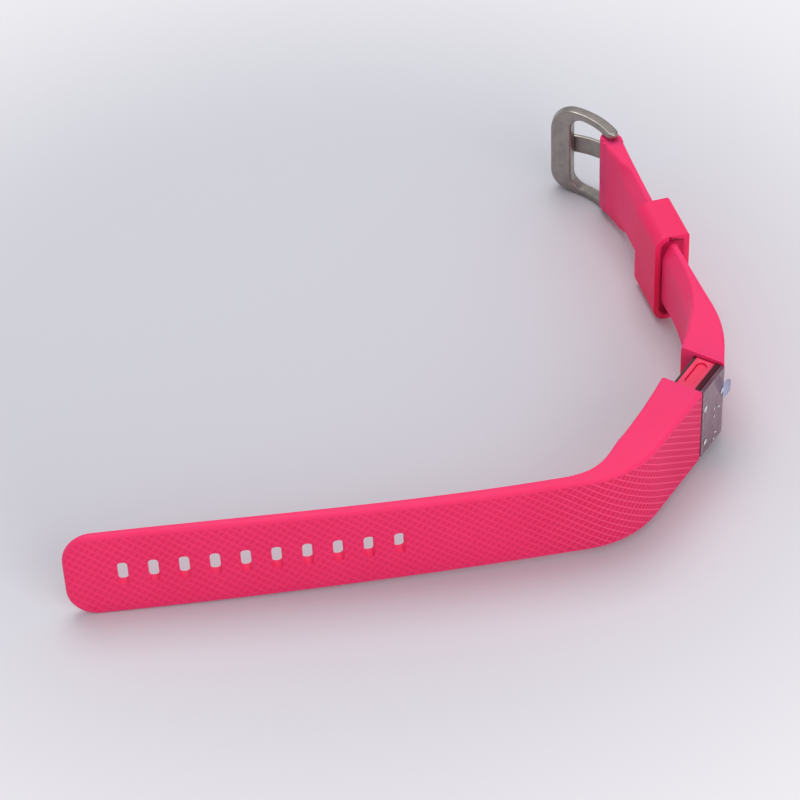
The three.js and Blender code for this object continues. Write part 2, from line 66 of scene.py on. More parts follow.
# ----------------------------------------------------------------------------- shader maths
class Value:
    """A number on a shader socket. Python expressions on values add Math nodes."""

    def __init__(self, graph: "Graph", socket: bpy.types.NodeSocket) -> None:
        """Wraps a socket.

        Args:
            graph: the graph that the socket belongs to.
            socket: an output socket that carries a number.
        """
        self.graph = graph
        self.socket = socket

    def _math(self, operation: str, *values: Union["Value", Number]) -> "Value":
        """Adds one Math node.

        Args:
            operation: the Math node's operation.
            values: its inputs, in order.

        Returns:
            The node's result.
        """
        node = self.graph.node("ShaderNodeMath", {"operation": operation}, dict(enumerate(values)))
        return Value(self.graph, node.outputs[0])

    def __add__(self, other: Union["Value", Number]) -> "Value":
        """self + other."""
        return self._math("ADD", self, other)

    __radd__ = __add__

    def __sub__(self, other: Union["Value", Number]) -> "Value":
        """self - other."""
        return self._math("SUBTRACT", self, other)

    def __rsub__(self, other: Union["Value", Number]) -> "Value":
        """other - self."""
        return self._math("SUBTRACT", other, self)

    def __mul__(self, other: Union["Value", Number]) -> "Value":
        """self * other."""
        return self._math("MULTIPLY", self, other)

    __rmul__ = __mul__

    def __truediv__(self, other: Union["Value", Number]) -> "Value":
        """self / other."""
        return self._math("DIVIDE", self, other)

    def __rtruediv__(self, other: Union["Value", Number]) -> "Value":
        """other / self."""
        return self._math("DIVIDE", other, self)

    def __pow__(self, power: Number) -> "Value":
        """self to a power."""
        return self._math("POWER", self, power)

    def __abs__(self) -> "Value":
        """The size of self."""
        return self._math("ABSOLUTE", self)

    def sine(self) -> "Value":
        """The sine of self, in radians."""
        return self._math("SINE", self)

    def fraction(self) -> "Value":
        """What is left of self past its whole part."""
        return self._math("FRACT", self)

    def smooth(self, low: Number, high: Number) -> "Value":
        """A soft step from 0 at low to 1 at high, or down where low is above high.

        Args:
            low: where the step starts.
            high: where the step ends.

        Returns:
            The step.
        """
        start, end, first, last = (low, high, 0.0, 1.0) if low < high else (high, low, 1.0, 0.0)
        node = self.graph.node(
            "ShaderNodeMapRange",
            {"interpolation_type": "SMOOTHSTEP"},
            {0: self, 1: start, 2: end, 3: first, 4: last},
        )
        return Value(self.graph, node.outputs[0])


class Graph:
    """A material's node tree, with one method that makes nodes."""

    def __init__(self, name: str) -> None:
        """Starts an empty material.

        Args:
            name: the material's name.
        """
        self.material = bpy.data.materials.new(name)
        self.material.use_nodes = True
        self.tree = self.material.node_tree
        self.tree.nodes.clear()

    def node(self, kind: str, settings: Optional[dict] = None,
             inputs: Optional[dict] = None) -> bpy.types.Node:
        """Adds a node, sets its settings, then its sockets.

        Args:
            kind: the node's type.
            settings: its properties.
            inputs: values or links by socket name or number.

        Returns:
            The node.
        """
        made = self.tree.nodes.new(kind)
        for key, setting in (settings or {}).items():
            setattr(made, key, setting)
        for key, value in (inputs or {}).items():
            if isinstance(value, Value):
                value = value.socket
            if isinstance(value, bpy.types.NodeSocket):
                self.tree.links.new(value, made.inputs[key])
            else:
                made.inputs[key].default_value = value
        return made

    def place(self) -> bpy.types.NodeSocket:
        """The point on the object, in metres."""
        return self.node("ShaderNodeTexCoord").outputs["Object"]

    def attribute(self, name: str) -> bpy.types.NodeSocket:
        """A piece's own vector attribute."""
        return self.node("ShaderNodeAttribute", {"attribute_name": name}).outputs["Vector"]

    def split(self, vector: bpy.types.NodeSocket) -> tuple[Value, Value, Value]:
        """The three parts of a vector."""
        made = self.node("ShaderNodeSeparateXYZ", None, {0: vector})
        return tuple(Value(self, output) for output in made.outputs)

    def noise(self, vector: bpy.types.NodeSocket, per_metre: float, detail: float = 2.0) -> Value:
        """Soft noise from 0 to 1.

        Args:
            vector: where the noise is read.
            per_metre: features to the metre.
            detail: how many finer layers it has.

        Returns:
            The noise.
        """
        made = self.node(
            "ShaderNodeTexNoise", None, {"Vector": vector, "Scale": per_metre, "Detail": detail})
        return Value(self, made.outputs["Fac"])

    def stretched(self, vector: bpy.types.NodeSocket, scale: Sequence[float]) -> bpy.types.NodeSocket:
        """A vector scaled on each axis."""
        return self.node("ShaderNodeMapping", None, {"Vector": vector, "Scale": scale}).outputs[0]

    def blend(self, share: Value, low: Union[Colour, bpy.types.NodeSocket],
              high: Colour) -> bpy.types.NodeSocket:
        """A colour from low at 0 to high at 1."""
        made = self.node("ShaderNodeMix", {"data_type": "RGBA"}, {0: share, 6: low, 7: high})
        return made.outputs[2]

    def bump(self, height: Value, depth: float, share: float = 1.0) -> bpy.types.NodeSocket:
        """A relief from a height of 0 to 1.

        Args:
            height: the relief's height.
            depth: its real depth in metres.
            share: how much of it shows.

        Returns:
            The bent normal.
        """
        made = self.node("ShaderNodeBump", None, {"Height": height, "Distance": depth, "Strength": share})
        return made.outputs[0]

    def surface(self, inputs: dict) -> bpy.types.Material:
        """Finishes the material with one Principled shader.

        Args:
            inputs: values or links by socket name.

        Returns:
            The material.
        """
        shader = self.node("ShaderNodeBsdfPrincipled", None, inputs)
        self.node("ShaderNodeOutputMaterial", None, {0: shader.outputs[0]})
        return self.material


# ----------------------------------------------------------------------------- finishes
@dataclass(frozen=True)
class Silicone:
    """Soft coloured silicone, plain or with a woven relief on the strap's outer face whose grooves carry
    painted shade and whose ridges carry a painted highlight; inner faces can carry a painted glow.
    """

    name: str
    colour: Colour = (0.92, 0.03, 0.16, 1.0)
    # darker colour, for random mottling and for the painted shade in the woven grooves
    shade: Colour = (0.68, 0.008, 0.08, 1.0)
    # painted highlight colour of the woven ridges
    ridge_highlight: Colour = (0.96, 0.12, 0.28, 1.0)
    woven: bool = False
    glow: float = 0.5
    glow_depth: float = 3 * MM
    rib_pitch: float = 1.48 * MM
    rib_slope: float = 38.0
    tick_pitch: float = 1.3 * MM
    relief: float = 0.16 * MM
    margin: float = 9.4 * MM
    middle: float = 12 * MM
    crisp_run: tuple[float, float] = (56 * MM, 26 * MM)
    # painted glow: emission strength that makes inner faces glow
    painted_inner_glow: float = 0.0

    def build(self) -> bpy.types.Material:
        """Makes the material.

        Returns:
            The material.
        """
        graph = Graph(self.name)
        place = graph.place()
        grain = graph.noise(place, 9000.0, 3.0)
        cloud = graph.noise(place, 60.0, 3.0)
        share = cloud.smooth(0.35, 0.75) * 0.12
        height = grain * 0.12
        rough = 0.5 + 0.1 * cloud
        colour = self.colour
        if self.woven:
            weave, mask, crisp = self._weave(graph)
            height = height + weave * mask * (0.45 + 0.55 * crisp)
            # painted shade: the grooves between the ridges are darkened towards the shade colour, on top of
            # the random mottling
            share = share + (1.0 - weave) * mask * (0.45 + 0.35 * crisp)
            rough = rough + mask * 0.06
            # painted highlight: the ridges are lightened towards the ridge highlight colour, most near the
            # sleeve
            light = weave.smooth(0.6, 1.0) * mask * (0.06 + 0.4 * crisp)
            colour = graph.blend(light, self.colour, self.ridge_highlight)
        return graph.surface({
            "Base Color": graph.blend(share, colour, self.shade),
            "Roughness": rough,
            "Normal": graph.bump(height, self.relief if self.woven else 0.02 * MM),
            "Specular IOR Level": 0.3,
            "Subsurface Weight": self.glow,
            "Subsurface Radius": (1.0, 0.1, 0.14),
            "Subsurface Scale": self.glow_depth,
            # painted glow on faces whose emission strength is set
            "Emission Color": (1.0, 0.0, 0.03, 1.0),
            "Emission Strength": self.painted_inner_glow,
        })

    def _weave(self, graph: Graph) -> tuple[Value, Value, Value]:
        """The woven relief, in the strap's own flat places.

        Args:
            graph: the graph to build in.

        Returns:
            The relief's height, the mask of where it is, and how crisp it is: fainter on the tail, for the
            bump and for the painted shade and highlight alike.
        """
        along, depth, up = graph.split(graph.attribute("flat"))
        slope = math.radians(self.rib_slope)
        over = (up * math.cos(slope) - along * math.sin(slope)) / self.rib_pitch
        ahead = (along * math.cos(slope) + up * math.sin(slope)) / self.tick_pitch
        ridge = abs(over.fraction() - 0.5).smooth(0.34, 0.42)
        tick = ((ahead * (2 * math.pi)).sine() * 0.5 + 0.5).smooth(0.25, 0.75)
        weave = ridge + (1.0 - ridge) * tick * 0.6
        inside = abs(up - self.middle).smooth(self.margin, self.margin - 0.5 * MM)
        mask = inside * depth.smooth(0.06 * MM, 0.02 * MM)
        return weave, mask, along.smooth(*self.crisp_run)


@dataclass(frozen=True)
class Metal:
    """Satin metal with fine scratches; the buckle's bevelled edges use a lighter, smoother copy whose lighter
    colour is a painted highlight.
    """

    name: str
    colour: Colour = (0.37, 0.335, 0.305, 1.0)
    roughness: float = 0.34
    grain: float = 0.012 * MM
    stretch: tuple[float, float, float] = (1.0, 1.0, 0.06)

    def build(self) -> bpy.types.Material:
        """Makes the material.

        Returns:
            The material.
        """
        graph = Graph(self.name)
        place = graph.place()
        fine = graph.noise(graph.stretched(place, self.stretch), 22000.0, 3.0)
        wear = graph.noise(place, 420.0, 4.0)
        dark = tuple(0.8 * part for part in self.colour[:3]) + (1.0,)
        return graph.surface({
            "Base Color": graph.blend(wear.smooth(0.35, 0.75), self.colour, dark),
            "Roughness": self.roughness + (wear - 0.5) * 0.14 + (fine - 0.5) * 0.08,
            "Metallic": 1.0,
            "Normal": graph.bump(fine, self.grain, 0.5),
        })


@dataclass(frozen=True)
class Moulded:
    """Moulded plastic or resin with a fine spark grain."""

    name: str
    colour: Colour
    roughness: float = 0.42
    grain_per_metre: float = 5200.0
    grain: float = 0.02 * MM
    coat: float = 0.0
    metallic: float = 0.0
    shine: float = 0.5

    def build(self) -> bpy.types.Material:
        """Makes the material.

        Returns:
            The material.
        """
        graph = Graph(self.name)
        place = graph.place()
        grain = graph.noise(place, self.grain_per_metre, 2.0)
        cloud = graph.noise(place, 240.0, 3.0)
        dark = tuple(0.78 * part for part in self.colour[:3]) + (1.0,)
        return graph.surface({
            "Base Color": graph.blend(cloud.smooth(0.3, 0.8), self.colour, dark),
            "Roughness": self.roughness + (grain - 0.5) * 0.12 + (cloud - 0.5) * 0.08,
            "Metallic": self.metallic,
            "Normal": graph.bump(grain, self.grain, 0.6),
            "Specular IOR Level": self.shine,
            "Coat Weight": self.coat,
            "Coat Roughness": 0.12,
        })


@dataclass(frozen=True)
class Screen:
    """Dark tinted glass over an unlit display."""

    name: str
    colour: Colour = (0.13, 0.04, 0.07, 1.0)
    smear: Colour = (0.18, 0.08, 0.11, 1.0)

    def build(self) -> bpy.types.Material:
        """Makes the material.

        Returns:
            The material.
        """
        graph = Graph(self.name)
        place = graph.place()
        smear = graph.noise(graph.stretched(place, (1.0, 1.0, 0.4)), 260.0, 4.0)
        return graph.surface({
            "Base Color": graph.blend(smear.smooth(0.4, 0.8), self.colour, self.smear),
            "Roughness": 0.1 + smear.smooth(0.45, 0.8) * 0.12,
            "Specular IOR Level": 0.5,
            "Coat Weight": 0.25,
            "Coat Roughness": 0.08,
        })


@dataclass(frozen=True)
class Film:
    """Clear protective film with soft wrinkles."""

    name: str
    colour: Colour = (0.7, 0.58, 0.64, 1.0)
    see: float = 0.05

    def build(self) -> bpy.types.Material:
        """Makes the material.

        Returns:
            The material.
        """
        graph = Graph(self.name)
        place = graph.place()
        wrinkle = graph.noise(graph.stretched(place, (1.0, 1.0, 0.25)), 520.0, 3.0)
        return graph.surface({
            "Base Color": self.colour,
            "Roughness": 0.12 + wrinkle * 0.12,
            "Alpha": self.see + wrinkle.smooth(0.5, 0.8) * 0.1,
            "Normal": graph.bump(wrinkle, 0.04 * MM, 0.5),
        })


class Finish(Enum):
    """Every finish of the band, by what it is on."""

    STRAP = Silicone("strap_silicone", woven=True)
    KEEPER = Silicone("keeper_silicone", (0.96, 0.02, 0.13, 1.0))
    # painted glow: the keeper's inner walls get a lighter red copy of the silicone that also emits light
    KEEPER_INSIDE = Silicone("keeper_inner_painted_glow", (1.0, 0.01, 0.07, 1.0), painted_inner_glow=0.3)
    SIDE = Moulded("side_plate_plastic", (0.94, 0.026, 0.12, 1.0), 0.4)
    BUTTON = Moulded("button_plastic", (0.9, 0.02, 0.1, 1.0), 0.36)
    BLACK = Moulded("black_plastic", (0.016, 0.006, 0.009, 1.0), 0.4)
    BEZEL = Moulded("bezel_plastic", (0.07, 0.006, 0.014, 1.0), 0.5, shine=0.15)
    GLASS = Screen("display_glass_tint")
    FILM = Film("protective_film")
    FILM_EDGE = Film("film_edge", (0.9, 0.87, 0.9, 1.0), 0.85)
    TAB = Film("pull_tab_film", (0.5, 0.68, 0.98, 1.0), 0.42)
    MARK = Moulded("film_marks", (0.78, 0.76, 0.8, 1.0), 0.5)
    SATIN = Metal("buckle_satin")
    # painted highlight: lighter, smoother copy of the satin metal for the frame's bevelled edges
    POLISH = Metal("buckle_edge_highlight", (0.6, 0.56, 0.5, 1.0), 0.14, 0.004 * MM)
    STEEL = Metal("bright_steel", (0.6, 0.59, 0.57, 1.0), 0.24)
    GOLD = Metal("contact_gold", (0.83, 0.6, 0.24, 1.0), 0.2)
    BOARD = Moulded("solder_mask", (0.012, 0.12, 0.045, 1.0), 0.32, coat=0.4)
    CHIP = Moulded("epoxy", (0.02, 0.02, 0.024, 1.0), 0.55)
    CELL = Moulded("pouch_foil", (0.6, 0.62, 0.66, 1.0), 0.3, metallic=0.8)
    PANEL = Moulded("panel", (0.02, 0.012, 0.02, 1.0), 0.1, coat=0.6)

    @property
    def material(self) -> bpy.types.Material:
        """The finish's material, made the first time it is asked for."""
        return bpy.data.materials.get(self.value.name) or self.value.build()


# ----------------------------------------------------------------------------- mesh helpers
def box(bm: BMesh, low: Sequence[float], high: Sequence[float]) -> list[BMVert]:
    """Adds a box between two corners.

    Args:
        bm: the mesh to add to.
        low: one corner.
        high: the opposite corner.

    Returns:
        The eight new vertices.
    """
    size = [top - bottom for bottom, top in zip(low, high)]
    centre = [(top + bottom) / 2 for bottom, top in zip(low, high)]
    made = bmesh.ops.create_cube(bm, size=1.0)["verts"]
    bmesh.ops.scale(bm, vec=size, verts=made)
    bmesh.ops.translate(bm, vec=centre, verts=made)
    return made


def bevel(bm: BMesh, edges: Iterable[BMEdge], radius: float, segments: int) -> None:
    """Rounds edges to a radius.

    Args:
        bm: the mesh.
        edges: the edges to round; none is allowed.
        radius: how far the rounding reaches.
        segments: its number of steps.
    """
    found = list(edges)
    if found:
        bmesh.ops.bevel(
            bm, geom=found, offset=radius, offset_type="OFFSET", affect="EDGES",
            segments=segments, profile=0.5, material=-1, clamp_overlap=True)


def cut(bm: BMesh, point: Sequence[float], normal: Sequence[float], clear: bool = False) -> None:
    """Cuts a mesh by a plane.

    Args:
        bm: the mesh.
        point: a point of the plane.
        normal: the plane's normal.
        clear: whether to clear what lies on the normal's side.
    """
    bmesh.ops.bisect_plane(
        bm, geom=[*bm.verts, *bm.edges, *bm.faces], dist=1e-7, plane_co=point,
        plane_no=normal, clear_outer=clear)


def near(value: float, *places: float) -> bool:
    """Whether a value is at one of some places, within a hundredth of a millimetre."""
    return any(abs(value - place) < 0.01 * MM for place in places)


def sharp_edges(bm: BMesh, degrees: float = 50.0) -> list[BMEdge]:
    """Edges whose two faces turn by more than an angle."""
    limit = math.radians(degrees)
    return [e for e in bm.edges if len(e.link_faces) == 2 and e.calc_face_angle(0.0) > limit]


def finish_mesh(bm: BMesh, name: str, crease: float = 38.0) -> bpy.types.Object:
    """Turns a bmesh into a smooth-shaded object at the origin.

    Args:
        bm: the mesh, which is freed.
        name: the object's name.
        crease: the angle in degrees past which an edge stays sharp.

    Returns:
        The object.
    """
    bmesh.ops.recalc_face_normals(bm, faces=bm.faces)
    for face in bm.faces:
        face.smooth = True
    data = bpy.data.meshes.new(name)
    bm.to_mesh(data)
    bm.free()
    data.set_sharp_from_angle(angle=math.radians(crease))
    made = bpy.data.objects.new(name, data)
    bpy.context.scene.collection.objects.link(made)
    weighted = made.modifiers.new("even_normals", "WEIGHTED_NORMAL")
    weighted.keep_sharp = True
    return made


def dress(piece: bpy.types.Object, *finishes: Finish) -> None:
    """Gives a piece its materials, in slot order.

    Args:
        piece: the object.
        finishes: its finishes.
    """
    piece.data.materials.clear()
    for finish in finishes:
        piece.data.materials.append(finish.material)


def stand_in(piece: bpy.types.Object, body: str, slot: str, *nodes: str) -> None:
    """Makes a piece ride on a body in place of CAD nodes.

    Args:
        piece: the object.
        body: the body it rides on.
        slot: not used.
        nodes: the CAD nodes it replaces.
    """
    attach(piece, body)
    if nodes:
        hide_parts(*nodes)
    LOG.info("%s rides on %s: %d faces", piece.name, body, len(piece.data.polygons))


def module_origin() -> Vector:
    """The point on the display's face line that every local size is measured from."""
    low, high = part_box("display_glass")
    return Vector(((low.x + high.x) / 2, low.y, 0.0))


# ----------------------------------------------------------------------------- strap tracks
@dataclass(frozen=True)
class Place:
    """A point on a strap's outer face line."""

    point: Vector
    heading: float
    inward: Vector


@dataclass
class Track:
    """A strap's outer face in plan, as stretches of even curvature from the module outwards."""

    start: tuple[float, float]
    heading: float
    side: int
    stretches: list[tuple[float, float]] = field(default_factory=list)

    def add(self, length: float, turn: float = 0.0) -> "Track":
        """Adds a stretch that turns so many degrees towards the wrist."""
        self.stretches.append((length, math.radians(turn) * self.side))
        return self

    @property
    def length(self) -> float:
        """The whole length."""
        return sum(length for length, _ in self.stretches)

    def at(self, distance: float) -> Place:
        """Finds a place; past its end the track runs on in its last curve.

        Args:
            distance: how far along the outer face.

        Returns:
            The place there.
        """
        x, y = self.start
        heading = math.radians(self.heading)
        left = distance
        last = len(self.stretches) - 1
        for index, (length, whole_turn) in enumerate(self.stretches):
            run = left if index == last else min(left, length)
            turn = whole_turn * run / length
            chord = run if abs(turn) < 1e-9 else 2 * run * math.sin(turn / 2) / turn
            x += chord * math.cos(heading + turn / 2)
            y += chord * math.sin(heading + turn / 2)
            heading += turn
            left -= run
        inward = Vector((-math.sin(heading), math.cos(heading), 0.0)) * self.side
        return Place(module_origin() + Vector((x, y, 0.0)), heading, inward)

    def under(self, distance: float, depth: float) -> Vector:
        """The point some depth under the outer face."""
        place = self.at(distance)
        return place.point + place.inward * depth


def smoothstep(value: float, low: float, high: float) -> float:
    """A soft step from 0 at low to 1 at high."""
    share = min(1.0, max(0.0, (value - low) / (high - low)))
    return share * share * (3 - 2 * share)


@dataclass(frozen=True)
class Hollow:
    """A rectangular socket in a sleeve: where it lies behind the display's face, and its reach."""

    front: float
    back: float
    low: float
    high: float
    reach: float


@dataclass
class Strap:
    """A silicone strap, modelled flat and then bent along its track."""

    low: float = 2 * MM
    high: float = 22 * MM
    middle: float = 12 * MM
    lead: float = 2.5 * MM
    step: float = 1.6 * MM
    outer_radius: float = 0.7 * MM
    inner_radius: float = 0.85 * MM
    trough_depth: float = 2.0 * MM
    trough_cheek: float = 1.8 * MM
    trough_corner: float = 2.2 * MM
    flex: float = 0.0
    flex_run: tuple[float, float] = (0.0, 0.0)
    mouth: float = 5.02 * MM
    mouth_rim: float = 0.35 * MM
    socket_rim: float = 0.05 * MM
    flex_depth: float = 1.5 * MM
    rim_steps: int = 4

    def track(self) -> Track:
        """The strap's outer face line."""
        raise NotImplementedError

    def thickness(self, distance: float) -> float:
        """The strap's thickness at a distance."""
        raise NotImplementedError

    def plate(self, length: float, stations: Iterable[float]) -> BMesh:
        """A flat strap: x along it, y its depth, z up.

        Args:
            length: the strap's length.
            stations: distances at which it is cut across, so that it can bend.

        Returns:
            The plate, as thick as the strap at each station.
        """
        bm = bmesh.new()
        box(bm, (-self.lead, 0.0, self.low), (length, 1.0, self.high))
        self.shape_tip(bm, length)
        for station in stations:
            cut(bm, (station, 0.0, 0.0), (1.0, 0.0, 0.0))
        for vert in bm.verts:
            if vert.co.y > 0.5:
                vert.co.y = self.thickness(vert.co.x)
        return bm

    def shape_tip(self, bm: BMesh, length: float) -> None:
        """Shapes the plate's far end before it is cut into stations."""

    def round_rims(self, bm: BMesh) -> None:
        """Rounds the long edges, more on the wrist side.

        Args:
            bm: the flat strap.
        """
        outer, inner = [], []
        for edge in sharp_edges(bm):
            if any(near(v.co.x, -self.lead) for v in edge.verts):
                if all(near(v.co.x, -self.lead) for v in edge.verts):
                    continue
            if not all(self.on_side(v.co) for v in edge.verts):
                continue
            if all(near(v.co.y, 0.0) for v in edge.verts):
                outer.append(edge)
            elif all(near(v.co.y, self.thickness(v.co.x)) for v in edge.verts):
                inner.append(edge)
        bevel(bm, outer, self.outer_radius, self.rim_steps)
        bevel(bm, [e for e in inner if e.is_valid], self.inner_radius, self.rim_steps)

    def on_side(self, point: Vector) -> bool:
        """Whether a flat point lies on the strap's outline."""
        return near(point.z, self.low, self.high)

    def sink_trough(self, bm: BMesh, start: float, end: float) -> None:
        """Scoops the wrist face between its two cheeks.

        Args:
            bm: the flat strap.
            start: where the trough starts along the strap.
            end: where it ends.
        """
        low, high = self.low + self.trough_cheek, self.high - self.trough_cheek
        for height in (low, high):
            cut(bm, (0.0, 0.0, height), (0.0, 0.0, 1.0))
        bm.normal_update()
        floor = [
            f for f in bm.faces
            if f.normal.y > 0.5 and start < f.calc_center_median().x < end
            and low < f.calc_center_median().z < high
        ]
        made = bmesh.ops.extrude_face_region(bm, geom=floor)
        verts = [g for g in made["geom"] if isinstance(g, BMVert)]
        bmesh.ops.translate(bm, vec=(0.0, -self.trough_depth, 0.0), verts=verts)
        bmesh.ops.delete(bm, geom=[f for f in floor if f.is_valid], context="FACES")
        corners = [
            e for e in bm.edges
            if all(near(v.co.x, start, end) and near(v.co.z, low, high) for v in e.verts)
            and abs(e.verts[0].co.y - e.verts[1].co.y) > 0.5 * self.trough_depth
        ]
        bevel(bm, corners, self.trough_corner, 6)

    def bend(self, bm: BMesh) -> None:
        """Bends the flat plate along the track and keeps its flat places as an attribute.

        Args:
            bm: the flat strap.
        """
        track = self.track()
        flat = bm.verts.layers.float_vector.new("flat")
        for vert in bm.verts:
            vert[flat] = vert.co
            place = track.at(vert.co.x)
            depth = vert.co.y + self.lean(vert.co)
            vert.co = place.point + place.inward * depth + Vector((0.0, 0.0, vert.co.z))

    def lean(self, flat: Vector) -> float:
        """How far a flat point leans towards the wrist."""
        return 0.0

    def flex_ends(self) -> list[Vector]:
        """Where the strap's bend between its two bodies starts and ends.

        Returns:
            The two points, in the middle of the strap.
        """
        track = self.track()
        lift = Vector((0.0, 0.0, self.middle))
        return [track.under(self.flex + run, self.flex_depth) + lift for run in self.flex_run]

    def open_mouth(self, bm: BMesh, side: int) -> BMFace:
        """Cuts the strap square at the module and closes the cut with one face.

        Args:
            bm: the bent strap.
            side: -1 for the strap towards -X, or 1.

        Returns:
            The end face.
        """
        edge = module_origin() + Vector((side * self.mouth, 0.0, 0.0))
        cut(bm, edge, (-side, 0.0, 0.0), clear=True)
        rim = [e for e in bm.edges if e.is_boundary]
        end = bmesh.ops.holes_fill(bm, edges=rim, sides=0)["faces"][0]
        bevel(bm, end.edges, self.mouth_rim, 3)
        return max((f for f in bm.faces if near(f.calc_center_median().x, edge.x)), key=BMFace.calc_area)

    def socket(self, bm: BMesh, face: BMFace, hollow: Hollow) -> BMFace:
        """Sinks a rectangular socket with soft corners into a face across the strap.

        Args:
            bm: the strap.
            face: the face to sink.
            hollow: the socket's sizes.

        Returns:
            The socket's floor.
        """
        bmesh.ops.inset_individual(bm, faces=[face], thickness=self.socket_rim, use_even_offset=True)
        origin = module_origin()
        ys = [v.co.y for v in face.verts]
        zs = [v.co.z for v in face.verts]
        for vert in face.verts:
            share_y = (vert.co.y - min(ys)) / (max(ys) - min(ys))
            share_z = (vert.co.z - min(zs)) / (max(zs) - min(zs))
            vert.co.y = origin.y + hollow.front + (hollow.back - hollow.front) * share_y
            vert.co.z = hollow.low + (hollow.high - hollow.low) * share_z
        floor = bmesh.ops.extrude_discrete_faces(bm, faces=[face])["faces"][0]
        bmesh.ops.translate(bm, vec=(hollow.reach, 0.0, 0.0), verts=floor.verts)
        return floor


@dataclass
class LongStrap(Strap):
    """The slotted strap with its sleeve, its bend and its round tip."""

    sleeve: float = 21 * MM
    sleeve_thick: float = 9.8 * MM
    sleeve_end_thick: float = 8.4 * MM
    thin: float = 2.9 * MM
    tip: float = 1.9 * MM
    bend_radius: float = 22 * MM
    bend_turn: float = 47.0
    tail: float = 108.5 * MM
    lean_run: tuple[float, float] = (45 * MM, 135 * MM)
    lean_angle: float = 6.5
    tail_turn: float = 5.0
    tip_radius: float = 6.5 * MM
    slots: int = 10
    slot_along: float = 2.1 * MM
    slot_across: float = 5.5 * MM
    slot_pitch: float = 6.3 * MM
    slot_first: float = 12 * MM
    slot_radius: float = 0.8 * MM
    slot_rim: float = 0.16 * MM
    flex: float = 43 * MM
    flex_run: tuple[float, float] = (-7 * MM, 7 * MM)
    hollows: tuple[Hollow, ...] = (
        Hollow(1.2 * MM, 7.7 * MM, 3 * MM, 21 * MM, -1.6 * MM),
        Hollow(1.9 * MM, 7.5 * MM, 4.2 * MM, 19.8 * MM, -3.9 * MM),
        Hollow(3.1 * MM, 5.9 * MM, 5.7 * MM, 18.3 * MM, -12.1 * MM),
    )

    def track(self) -> Track:
        """The strap's outer face line.

        Returns:
            The track.
        """
        arc = self.bend_radius * math.radians(self.bend_turn)
        line = Track((-5 * MM, 0.0), 180.0, -1)
        return line.add(self.sleeve - 2 * MM).add(arc, self.bend_turn).add(self.tail, self.tail_turn)

    def thickness(self, distance: float) -> float:
        """A sleeve, a taper through the bend, then a thin tail.

        Args:
            distance: how far along the strap.

        Returns:
            The thickness there.
        """
        taper = smoothstep(distance, self.sleeve, 2 * self.sleeve)
        mouth = max(0.0, 1 - max(0.0, distance) / self.sleeve)
        sleeve = self.sleeve_end_thick + (self.sleeve_thick - self.sleeve_end_thick) * mouth ** 2
        run = max(0.0, distance - 2 * self.sleeve) / (self.track().length - 2 * self.sleeve)
        return sleeve * (1 - taper) + (self.thin + (self.tip - self.thin) * run) * taper

    def shape_tip(self, bm: BMesh, length: float) -> None:
        """Rounds the two corners of the tip.

        Args:
            bm: the flat strap.
            length: where it ends.
        """
        corners = [e for e in bm.edges if all(near(v.co.x, length) for v in e.verts)
                   and near(e.verts[0].co.z, e.verts[1].co.z)]
        bevel(bm, corners, self.tip_radius, 14)

    def slot_places(self) -> list[float]:
        """The slots' middles along the strap."""
        length = self.track().length
        return [length - self.slot_first - self.slot_pitch * index for index in range(self.slots)]

    def stations(self) -> list[float]:
        """Distances to cut across: close in the bend, and clear of the slots.

        Returns:
            The distances.
        """
        places = self.slot_places()
        half = self.slot_along / 2
        solid_end = min(places) - half
        made = [self.step * index for index in range(int(solid_end / self.step))]
        for place in places:
            made += [place - half, place + half, place + self.slot_pitch / 2]
        return made

    def on_side(self, point: Vector) -> bool:
        """Whether a flat point lies on the strap's outline, its round tip included.

        Args:
            point: a flat point.

        Returns:
            True where it is on the outline.
        """
        length = self.track().length
        beyond = point.x - (length - self.tip_radius)
        if beyond <= 0:
            return near(point.z, self.low, self.high)
        flat = self.high - self.middle - self.tip_radius
        across = abs(point.z - self.middle) - flat
        return near(point.x, length) or (across > 0 and near(math.hypot(beyond, across), self.tip_radius))

    def lean(self, flat: Vector) -> float:
        """The tail's upper edge leans, more and more towards the tip."""
        share = smoothstep(flat.x, *self.lean_run)
        return (flat.z - self.low) * math.tan(math.radians(self.lean_angle * share))

    def cut_slots(self, bm: BMesh) -> None:
        """Cuts the slots through the plate, with round corners and soft rims.

        Args:
            bm: the flat strap.
        """
        half = self.slot_across / 2
        for height in (self.middle - half, self.middle + half):
            cut(bm, (0.0, 0.0, height), (0.0, 0.0, 1.0))
        for place in self.slot_places():
            caps = []
            for face in bm.faces:
                centre = face.calc_center_median()
                if abs(face.normal.y) > 0.9 and abs(centre.x - place) < 0.2 * MM:
                    if abs(centre.z - self.middle) < 0.2 * MM:
                        caps.append(face)
            rim = {edge for face in caps for edge in face.edges}
            bmesh.ops.delete(bm, geom=caps, context="FACES_ONLY")
            bmesh.ops.bridge_loops(bm, edges=list(rim))
            corners = [
                e for e in bm.edges
                if abs(e.verts[0].co.y - e.verts[1].co.y) > 1 * MM
                and all(near(abs(v.co.x - place), self.slot_along / 2) for v in e.verts)
                and all(near(abs(v.co.z - self.middle), half) for v in e.verts)
            ]
            bevel(bm, corners, self.slot_radius, 4)

    def round_slots(self, bm: BMesh) -> None:
        """Softens the rims of the slots.

        Args:
            bm: the flat strap with its slots.
        """
        half = self.slot_across / 2
        first = min(self.slot_places()) - self.slot_along
        rims = [
            e for e in sharp_edges(bm)
            if all(v.co.x > first and abs(v.co.z - self.middle) < half + 0.01 * MM for v in e.verts)
            and near(e.verts[0].co.y, e.verts[1].co.y, e.verts[1].co.y)
            and all(abs(v.co.x - self.track().length) > 1 * MM for v in e.verts)
        ]
        bevel(bm, rims, self.slot_rim, 2)

